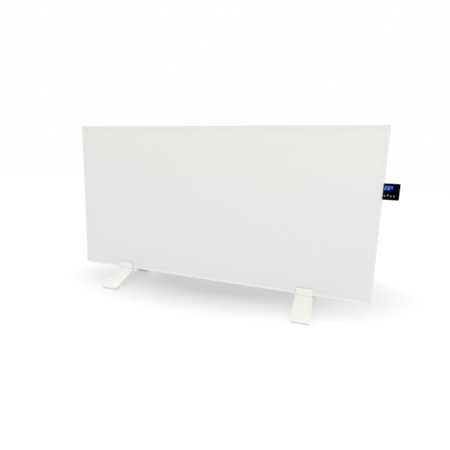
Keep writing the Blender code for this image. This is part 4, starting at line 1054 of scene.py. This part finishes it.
def makeLegBlank():
    # one rear leg about the panel's origin
    look = footLook
    middle, shoulder = look["legMiddle"], look["shoulder"]
    slope = math.radians(look["slope"])
    half = look["blankHalf"]
    leg = addSheet("legBlank", (-half, look["legStart"], middle), (half, shoulder, middle))
    startEdit(leg)
    pickEdges(leg, "x", y=shoulder)
    bend = look["legBend"]
    bendPicked((0, shoulder, middle - bend), -look["slope"], 4)
    deep, up = shoulder + bend * math.sin(slope), middle - bend * (1 - math.cos(slope))
    pickEdges(leg, "x", y=deep, z=up)
    forward, fall = look["run"] * math.cos(slope), look["run"] * math.sin(slope)
    extrudePicked(0, forward, -fall)
    deep, up = deep + forward, up - fall
    pickEdges(leg, "x", y=deep, z=up)
    bend = look["toeBend"]
    centre = (0, deep - bend * math.sin(slope), up - bend * math.cos(slope))
    bendPicked(centre, look["slope"] - 180, 12)
    pickEdges(leg, "x", y=centre[1], z=centre[2] - bend)
    extrudePicked(0, -look["toeFlange"], 0)
    bpy.ops.mesh.select_all(action="SELECT")
    bpy.ops.mesh.remove_doubles(threshold=look["weld"] / 1000)
    bpy.ops.mesh.normals_make_consistent(inside=False)
    endEdit()
    thicken(leg, look["steel"])
    cutWith(leg, legTrim(), "INTERSECT")
    drillFoot(leg, look["screwAcross"], look["screwDeep"])
    softenEdges(leg, look["edge"], 2, 40)
    return leg


padLook = {
    "half": 29.0, "near": 108.8, "far": 123.4, "low": -57.0, "high": -55.0, "corner": 2.0, "edge": 0.4,
    "groove": 0.5, "grooveSides": (1.6, 2.6), "grooveEnd": 25.0,
}


def makePadBlank():
    look = padLook
    inner, outer = look["grooveSides"]
    middle, ends = (look["near"] + look["far"]) / 2, look["grooveEnd"]
    pad = addBox("padBlank", (-look["half"], look["near"], look["low"]),
                 (look["half"], look["far"], look["high"]))
    roundAlong(pad, "z", look["corner"], 5)
    startEdit(pad)
    for deep in (-outer, -inner, inner, outer):
        sliceAt((0, middle + deep, 0), (0, 1, 0))
    for across in (-ends, ends):
        sliceAt((across, 0, 0), (1, 0, 0))
    pick(pad, "FACE", lambda p, n: n.z < -0.9 and inner < abs(p.y - middle) < outer and abs(p.x) < ends)
    extrudePicked(0, 0, look["groove"])
    endEdit()
    softenEdges(pad, look["edge"], 2, 50)
    return pad


def makeFeet():
    look = footLook
    leg, pad, screw = makeLegBlank(), makePadBlank(), makeScrew("large", look["screwGrip"])
    for side in ("left", "right"):
        centre = look[side]
        makeSaddle(side + "Saddle", centre, "foot_" + side + "_saddle")
        for end, degrees, sign in (("Front", 180, -1), ("Rear", 0, 1)):
            outward, middle = turned("Z", degrees), (centre, 0, 0)
            seat = (centre + sign * look["screwAcross"], sign * look["screwDeep"], look["screwSeat"])
            copies = (
                (leg, "Leg", "_leg", "coated_foot", outward, middle),
                (pad, "Pad", "_pad", "pad_rubber", outward, middle),
                (screw, "LegScrew", "_screw", "zinc", turned("X", 180), seat),
            )
            for blank, title, ending, slot, turn, place in copies:
                piece = copyPiece(blank, side + end + title, turn, place)
                finishPiece(piece, slot, "foot_" + side + "_" + end.lower() + ending)
    for blank in (leg, pad, screw):
        drop(blank)


makeFeet()
print("feet made")

placeScrews("small", coverLook["screwGrip"], "coverScrew", "cover_screw", coverScrews)
placeScrews("small", boxLook["screwGrip"], "boxScrew", "terminal_box_screw", boxLook["screws"])
print("screws made")


# Control module on the right edge

controlLook = {
    "left": 597.8, "right": 643.5, "low": 361.0, "housingLow": 365.5, "high": 414.0, "halfDepth": 12.0,
    "cornerRound": 3.0, "shell": 2.0, "edge": 0.6, "burr": 0.2, "glassLeft": 594.7, "glassBack": -12.3,
    "glassFront": -14.8, "glassEdge": 0.5, "ventsAt": (638.5, 635.5, 632.5), "ventHalf": (0.8, 4.5),
    "ventRound": 0.76, "posts": (605.0, 636.3), "postLevels": (389.5, 406.8), "stemRadius": 2.8,
    "tipRadius": 1.4, "stemEnd": 5.5, "tipEnd": -4.6, "switchGap": 0.3, "floorReach": (363.5, 369.5),
    "sideReach": (594.8, 602.8), "screwLevels": (371.0, 404.0), "linkLevel": 382.5, "linkHole": 2.3,
}

switchLook = {
    "across": 620.5, "deep": 2.9, "half": (9.5, 6.5), "flange": 1.0, "low": 363.7, "flangeTop": 365.2,
    "top": 377.5, "wall": 1.4, "roof": 370.5, "corner": 0.9, "bezelEdge": 0.4, "burr": 0.15,
    "tabs": (-6.8, 0.0, 6.8), "tab": (0.8, 4.8, 7.0), "axis": 365.8, "pocket": 1.3, "pocketDeep": 1.1,
    "blockSink": 0.5, "tabSink": 0.8,
}

rockerLook = {
    "radius": 7.8, "halfWide": 4.8, "end": -3.5, "dish": -2.3, "crown": 3.0, "shoulder": 1.8,
    "pinRadius": 1.0, "pinReach": 5.9, "rest": 10.0, "edge": 0.25, "markAcross": 4.2, "markThick": 0.04,
    "markHalf": (0.3, 1.5), "markRound": 0.12, "ringInner": 1.0,
}


def makeGlass():
    look = controlLook
    glass = roundedSlab("controlGlass", (look["glassLeft"], look["glassFront"], look["low"]),
                        (look["right"], look["glassBack"], look["high"]), look["cornerRound"], 8)
    roundFaces(glass, look["glassEdge"], 3, "front", "back")
    finishPiece(glass, "black_glass", "control_glass")


def switchBox(name, wider, low, high):
    # a box about the switch's middle, wider on each side than the block in the housing
    across, deep, (side, half) = switchLook["across"], switchLook["deep"], switchLook["half"]
    return addBox(name, (across - side - wider, deep - half - wider, low),
                  (across + side + wider, deep + half + wider, high))


def makeHousing():
    look = controlLook
    depth, shell = look["halfDepth"], look["shell"]
    housing = roundedSlab("controlHousing", (look["left"], -depth, look["housingLow"]),
                          (look["right"], depth, look["high"]), look["cornerRound"], 8)
    startEdit(housing)
    pickFaces(housing, "back")
    roundPicked(look["edge"], 3)
    pickFaces(housing, "front")
    insetPicked(shell)
    extrudePicked(0, 2 * depth - shell, 0)
    endEdit()
    stemEnd = look["stemEnd"]
    for across in look["posts"]:
        for up in look["postLevels"]:
            weldRod(housing, look["stemRadius"], "y", (across, 0, up), depth - shell / 2, stemEnd, 24)
            weldRod(housing, look["tipRadius"], "y", (across, 0, up), stemEnd + overshoot,
                    look["tipEnd"], 20)
    (wide, long), (under, over) = look["ventHalf"], look["floorReach"]
    for across in look["ventsAt"]:
        vent = addBox("vent", (across - wide, -long, under), (across + wide, long, over))
        cutWith(housing, roundAlong(vent, "z", look["ventRound"], 4))
    cutWith(housing, switchBox("opening", look["switchGap"], under, over))
    holes = [(coverLook["screwHole"], up, 20) for up in look["screwLevels"]]
    holes.append((look["linkHole"], look["linkLevel"], 24))
    for radius, up, sides in holes:
        drill(housing, radius, "x", (0, 0, up), *look["sideReach"], sides)
    softenEdges(housing, look["burr"], 2, 50)
    finishPiece(housing, "black_plastic", "control_housing")


def makeSwitchBody():
    look = switchLook
    across, deep, top, wall = look["across"], look["deep"], look["top"], look["wall"]
    body = switchBox("switchBody", look["flange"], look["low"], look["flangeTop"])
    roundAlong(body, "z", look["corner"], 4)
    roundFaces(body, look["bezelEdge"], 3, "bottom")
    cutWith(body, switchBox("switchBlock", 0, look["flangeTop"] - look["blockSink"], top), "UNION")
    wide, long, tall = look["tab"]
    for offset in look["tabs"]:
        left = across + offset - wide / 2
        tab = addBox("tab", (left, deep - long / 2, top - look["tabSink"]),
                     (left + wide, deep + long / 2, top + tall))
        cutWith(body, tab, "UNION")
    cutWith(body, switchBox("switchWell", -wall, look["low"] - overshoot, look["roof"]))
    reach = look["half"][1] - wall + look["pocketDeep"]
    drill(body, look["pocket"], "y", (across, 0, look["axis"]), deep - reach, deep + reach, 24)
    softenEdges(body, look["burr"], 1, 50)
    finishPiece(body, "black_plastic", "power_switch_body")


def tiltRocker(piece, name):
    # from the panel's origin to the switch's axis, pressed down at one end
    look = switchLook
    place = (look["across"], look["deep"], look["axis"])
    moved = copyPiece(piece, name, turned("Y", rockerLook["rest"]), place)
    drop(piece)
    return moved


def makeRocker():
    look = rockerLook
    radius, wide, end = look["radius"], look["halfWide"], look["end"]
    crown, brow = look["crown"], look["shoulder"]
    reach, shoulder = math.sqrt(radius ** 2 - end ** 2), math.sqrt(radius ** 2 - brow ** 2)
    rocker = addRod("rockerBlank", radius, (0, -wide, 0), (0, wide, 0), 96)
    startEdit(rocker)
    sliceAt((0, 0, crown), (0, 0, 1), keep="inner")
    for side in (-1, 1):
        slant = Vector((side * (crown - brow), 0, shoulder - radius / 2)).normalized()
        sliceAt((side * shoulder, 0, brow), slant, keep="inner")
    endEdit()
    depth = look["dish"] - end
    dishRadius = (reach ** 2 + depth ** 2) / (2 * depth)
    dishMiddle = look["dish"] - dishRadius
    far = wide + overshoot
    drill(rocker, dishRadius, "y", (0, 0, dishMiddle), -far, far, 240)
    weldRod(rocker, look["pinRadius"], "y", (0, 0, 0), -look["pinReach"], look["pinReach"], 24)
    softenEdges(rocker, look["edge"], 3, 40)
    finishPiece(tiltRocker(rocker, "powerRocker"), "black_plastic", "power_rocker", body="rocker")

    # a bar for on and a ring for off, printed on the two halves of the dished face
    across, thick, (thin, tall) = look["markAcross"], look["markThick"], look["markHalf"]
    level = dishMiddle + math.sqrt(dishRadius ** 2 - across ** 2)
    lean = math.degrees(math.asin(across / dishRadius))
    bar = roundAlong(addBox("barBlank", (-thin, -tall, -thick), (thin, tall, thick)), "z",
                     look["markRound"], 2)
    ring = addRod("ringBlank", tall, (0, 0, -thick), (0, 0, thick), 40)
    drill(ring, look["ringInner"], "z", (0, 0, 0), -overshoot, overshoot, 40)
    for blank, name, side in ((bar, "rockerOnMark", 1), (ring, "rockerOffMark", -1)):
        mark = copyPiece(blank, name + "Blank", turned("Y", side * lean), (side * across, 0, level))
        drop(blank)
        mark = tiltRocker(mark, name)
        finishPiece(mark, "white_plastic", body="rocker", material=finishes["markPrint"])


# What the glass shows: two lit figures with a degree ring and a unit letter, and four touch symbols

displayLook = {
    "film": 0.04, "window": (595.6, 387.0, 625.0, 412.0), "windowRound": 1.5, "windowDepth": (-0.01, 0.3),
    "digitLow": 393.8, "digitHigh": 405.6, "digitWide": 7.0, "digitStarts": (597.5, 607.0), "bar": 2.1,
    "gap": 0.22, "overlap": 0.8, "digitPoint": 0.4, "lean": 6.0, "ringAt": (616.7, 404.0),
    "ringOuter": 1.3, "ringInner": 0.6, "letter": (618.2, 397.6, 622.4, 404.4), "letterBar": 1.35,
    "letterPoint": 0.35, "letterShort": 0.4, "barCorner": 0.2,
}

litBars = {
    "digitTens": ("top", "upperRight", "middle", "lowerLeft", "bottom"),
    "digitOnes": ("top", "upperLeft", "middle", "lowerLeft", "lowerRight", "bottom"),
}

symbolLook = {
    "level": 374.7, "spots": (600.6, 609.4, 618.9, 628.2), "radius": 2.3, "line": 0.9,
    "arrow": (2.5, 2.0), "powerBar": (0.62, 1.15), "clockHands": (0.9, 0.7), "handFoot": 0.25,
    "handLine": 0.8, "clockLift": 0.9, "lessDrop": 1.2, "gapDeep": (-20, -10), "gapStart": 1,
}


def printedBar(across, up, length, thick, upright=False, point=0.0):
    # a flat bar of film on the glass, with pointed ends where point is given
    front, film = controlLook["glassFront"], displayLook["film"]
    half, side = (thick / 2, length / 2) if upright else (length / 2, thick / 2)
    bar = addBox("bar", (across - half, front - film, up - side), (across + half, front, up + side))
    return roundAlong(bar, "y", point or thick * displayLook["barCorner"], 1 if point else 2)


def printedRing(name, across, up, outer, inner):
    front, film = controlLook["glassFront"], displayLook["film"]
    ring = addRod(name, outer, (across, front - film, up), (across, front, up), 48)
    drill(ring, inner, "y", (across, 0, up), front - overshoot, front + overshoot, 48)
    return ring


def printBars(name, bars, middle, thick, point, glow):
    # bars that lean over as one figure
    leaning = math.tan(math.radians(displayLook["lean"]))
    pieces = [printedBar(across + (up - middle) * leaning, up, length, thick, upright, thick * point)
              for across, up, length, upright in bars]
    finishPiece(joinPieces(name, pieces), "display_blue", material=finishes[glow])


def makeDigits():
    look = displayLook
    low, high, wide, thick = look["digitLow"], look["digitHigh"], look["digitWide"], look["bar"]
    middle, extra = (low + high) / 2, thick * look["overlap"]
    flat = wide - thick - 2 * look["gap"] + extra
    tall = (high - low - thick) / 2 - 2 * look["gap"] + extra
    for (name, lit), start in zip(litBars.items(), look["digitStarts"]):
        levels = {"top": high - thick / 2, "middle": middle, "bottom": low + thick / 2}
        spots = {level: (start + wide / 2, up, flat, False) for level, up in levels.items()}
        for row, end in (("upper", levels["top"]), ("lower", levels["bottom"])):
            spots[row + "Left"] = (start + thick / 2, (middle + end) / 2, tall, True)
            spots[row + "Right"] = (start + wide - thick / 2, (middle + end) / 2, tall, True)
        printBars(name, [spots[spot] for spot in lit], middle, thick, look["digitPoint"], "digitGlow")
    ring = printedRing("degreeRing", *look["ringAt"], look["ringOuter"], look["ringInner"])
    finishPiece(ring, "display_blue", material=finishes["degreeGlow"])
    left, low, right, high = look["letter"]
    thick = look["letterBar"]
    across, wide, up = (left + right) / 2, right - left, (low + high) / 2
    strokes = [(across, high - thick / 2, wide, False), (across, low + thick / 2, wide, False),
               (left + thick / 2, up, high - low - look["letterShort"] * thick, True)]
    printBars("unitLetter", strokes, up, thick, look["letterPoint"], "degreeGlow")


def makeWindow():
    # the lit area that shows dark blue round the figures
    look = displayLook
    left, low, right, high = look["window"]
    front, back = (controlLook["glassFront"] + depth for depth in look["windowDepth"])
    window = roundedSlab("displayWindow", (left, front, low), (right, back, high), look["windowRound"], 5)
    finishPiece(window, "black_glass", material=finishes["displayWindow"])


def printedArrow(across, up, wide, high):
    # a filled triangle, point up where high is positive
    arrow = printedBar(across, up, 2 * wide, 2 * abs(high))
    startEdit(arrow)
    for side in (-1, 1):
        slant = Vector((side * 2 * abs(high), 0, math.copysign(wide, high))).normalized()
        sliceAt((across, 0, up + high), slant, keep="inner")
    endEdit()
    return arrow


def makeSymbols():
    look = symbolLook
    level, radius, line = look["level"], look["radius"], look["line"]
    power, clock, more, less = look["spots"]
    wide, high = look["arrow"]
    (rise, stroke), (tall, flat) = look["powerBar"], look["clockHands"]
    raised, foot, hand = level + look["clockLift"], radius * look["handFoot"], line * look["handLine"]
    ring = printedRing("ring", power, level, radius, radius - line)
    front, back = look["gapDeep"]
    cutWith(ring, addBox("gap", (power - line, front, level + look["gapStart"]),
                         (power + line, back, level + radius + overshoot)))
    shapes = {
        "symbolPower": [ring, printedBar(power, level + radius * rise, radius * stroke, line, True)],
        "symbolClock": [printedRing("ring", clock, raised, radius, radius - line),
                        printedBar(clock, raised + foot, radius * tall, hand, True),
                        printedBar(clock + foot, raised, radius * flat, hand)],
        "symbolMore": [printedArrow(more, level, wide, high)],
        "symbolLess": [printedArrow(less, level - look["lessDrop"], wide, -high)],
    }
    for name, pieces in shapes.items():
        finishPiece(joinPieces(name, pieces), "black_glass", material=finishes["symbolPrint"])


makeGlass()
makeHousing()
makeSwitchBody()
makeRocker()
makeWindow()
makeDigits()
makeSymbols()
print("control module made")


# Floor and light

skyLook = {"tint": rgb(0.98, 0.99, 1.0), "strength": 0.65}

lampLook = {
    "top": {"place": (0.0, 0.0, 3.0), "aim": (0.0, 0.0, 0.0), "size": (6.0, 2.4), "power": 55.0},
    "front": {"place": (1.5, -8.0, 1.7), "aim": (0.0, 0.0, 0.35), "size": (6.0, 1.8), "power": 127.0},
}

# the painted shadow's place, turn and size: a turned ellipse where the floor's glow for the camera is lower,
# fading to white over the given steps
floorLook = {
    "size": 18.0, "tone": 0.32, "toneSpread": 1.02, "toneScale": 3.0, "bounce": 0.905,
    "paintedShadowPlace": (0.041, 0.154, 0.0), "paintedShadowTurn": 10.3, "paintedShadowSize": (1.0, 0.444, 1.0), "glow": 0.33,
    "paintedShadowFadeSteps": ((0.77, 0.301, 0.888), (0.88, 1.5, 5.0)),
}


def seenByCamera(tree):
    # 1 for rays that show the backdrop: straight, in gloss and through glass
    path = addNode(tree, "LightPath")
    seen = maths(tree, "MAXIMUM", path.outputs["Is Camera Ray"], path.outputs["Is Glossy Ray"])
    return maths(tree, "MAXIMUM", seen, path.outputs["Is Transmission Ray"])


def makeSky():
    world = bpy.data.worlds.new("studio")
    bpy.context.scene.world = world
    world.use_nodes = True
    tree = world.node_tree
    light = tree.nodes["Background"]
    feedAll(tree, light, {"Color": skyLook["tint"], "Strength": skyLook["strength"]})
    shown = addNode(tree, "Background", Color=grey(1.0), Strength=1.0)
    mix = addNode(tree, "MixShader", seenByCamera(tree), light.outputs[0], shown.outputs[0])
    feed(tree, tree.nodes["World Output"].inputs["Surface"], mix.outputs[0])


def makeFloor():
    # the camera sees a soft shadow close to the heater, partly the lamps' shadow and partly a painted shadow
    # where the floor's glow is lower in a turned ellipse, and plain white further out
    clearSelection()
    look = floorLook
    bpy.ops.mesh.primitive_plane_add(size=look["size"], location=(0, 0, 0))
    floor = bpy.context.object
    floor.name = "studioFloor"
    tree, shader, place = newMaterial("studioFloor", "studioFloorPaintedShadow", Roughness=0.95,
                                      Specular_IOR_Level=0.0, Emission_Strength=1.0)
    seen = seenByCamera(tree)
    tones = grey(look["tone"]), grey(look["tone"] * look["toneSpread"])
    shown = mixColours(tree, noise(tree, place, look["toneScale"]), *tones)
    # painted shadow: distance from the middle of the turned ellipse sets how low the floor's glow is
    shade = addNode(tree, "Mapping", Vector=place, Location=look["paintedShadowPlace"],
                    Rotation=(0.0, 0.0, math.radians(look["paintedShadowTurn"])), Scale=look["paintedShadowSize"],
                    vector_type="TEXTURE").outputs[0]
    paintedShadowDistance = addNode(tree, "VectorMath", shade, operation="LENGTH").outputs["Value"]
    glow = grey(look["glow"])
    for level, start, end in look["paintedShadowFadeSteps"]:
        glow = mixColours(tree, ranged(tree, paintedShadowDistance, start, end), glow, grey(level))
    feedAll(tree, shader, {"Base Color": mixColours(tree, seen, grey(look["bounce"]), shown),
                           "Emission Color": mixColours(tree, seen, grey(0), glow)})
    floor.data.materials.append(finishes["studioFloor"])


def addLamp(name, look):
    place, aim = Vector(look["place"]), Vector(look["aim"])
    bpy.ops.object.light_add(type="AREA", location=place)
    lamp = bpy.context.object
    lamp.name = name + "Lamp"
    lamp.rotation_euler = (aim - place).to_track_quat("-Z", "Y").to_euler()
    lamp.data.shape = "RECTANGLE"
    lamp.data.size, lamp.data.size_y = look["size"]
    lamp.data.energy = look["power"]


makeSky()
makeFloor()
for lampName, look in lampLook.items():
    addLamp(lampName, look)
bpy.context.scene.view_settings.view_transform = "Standard"
print("floor and light set")
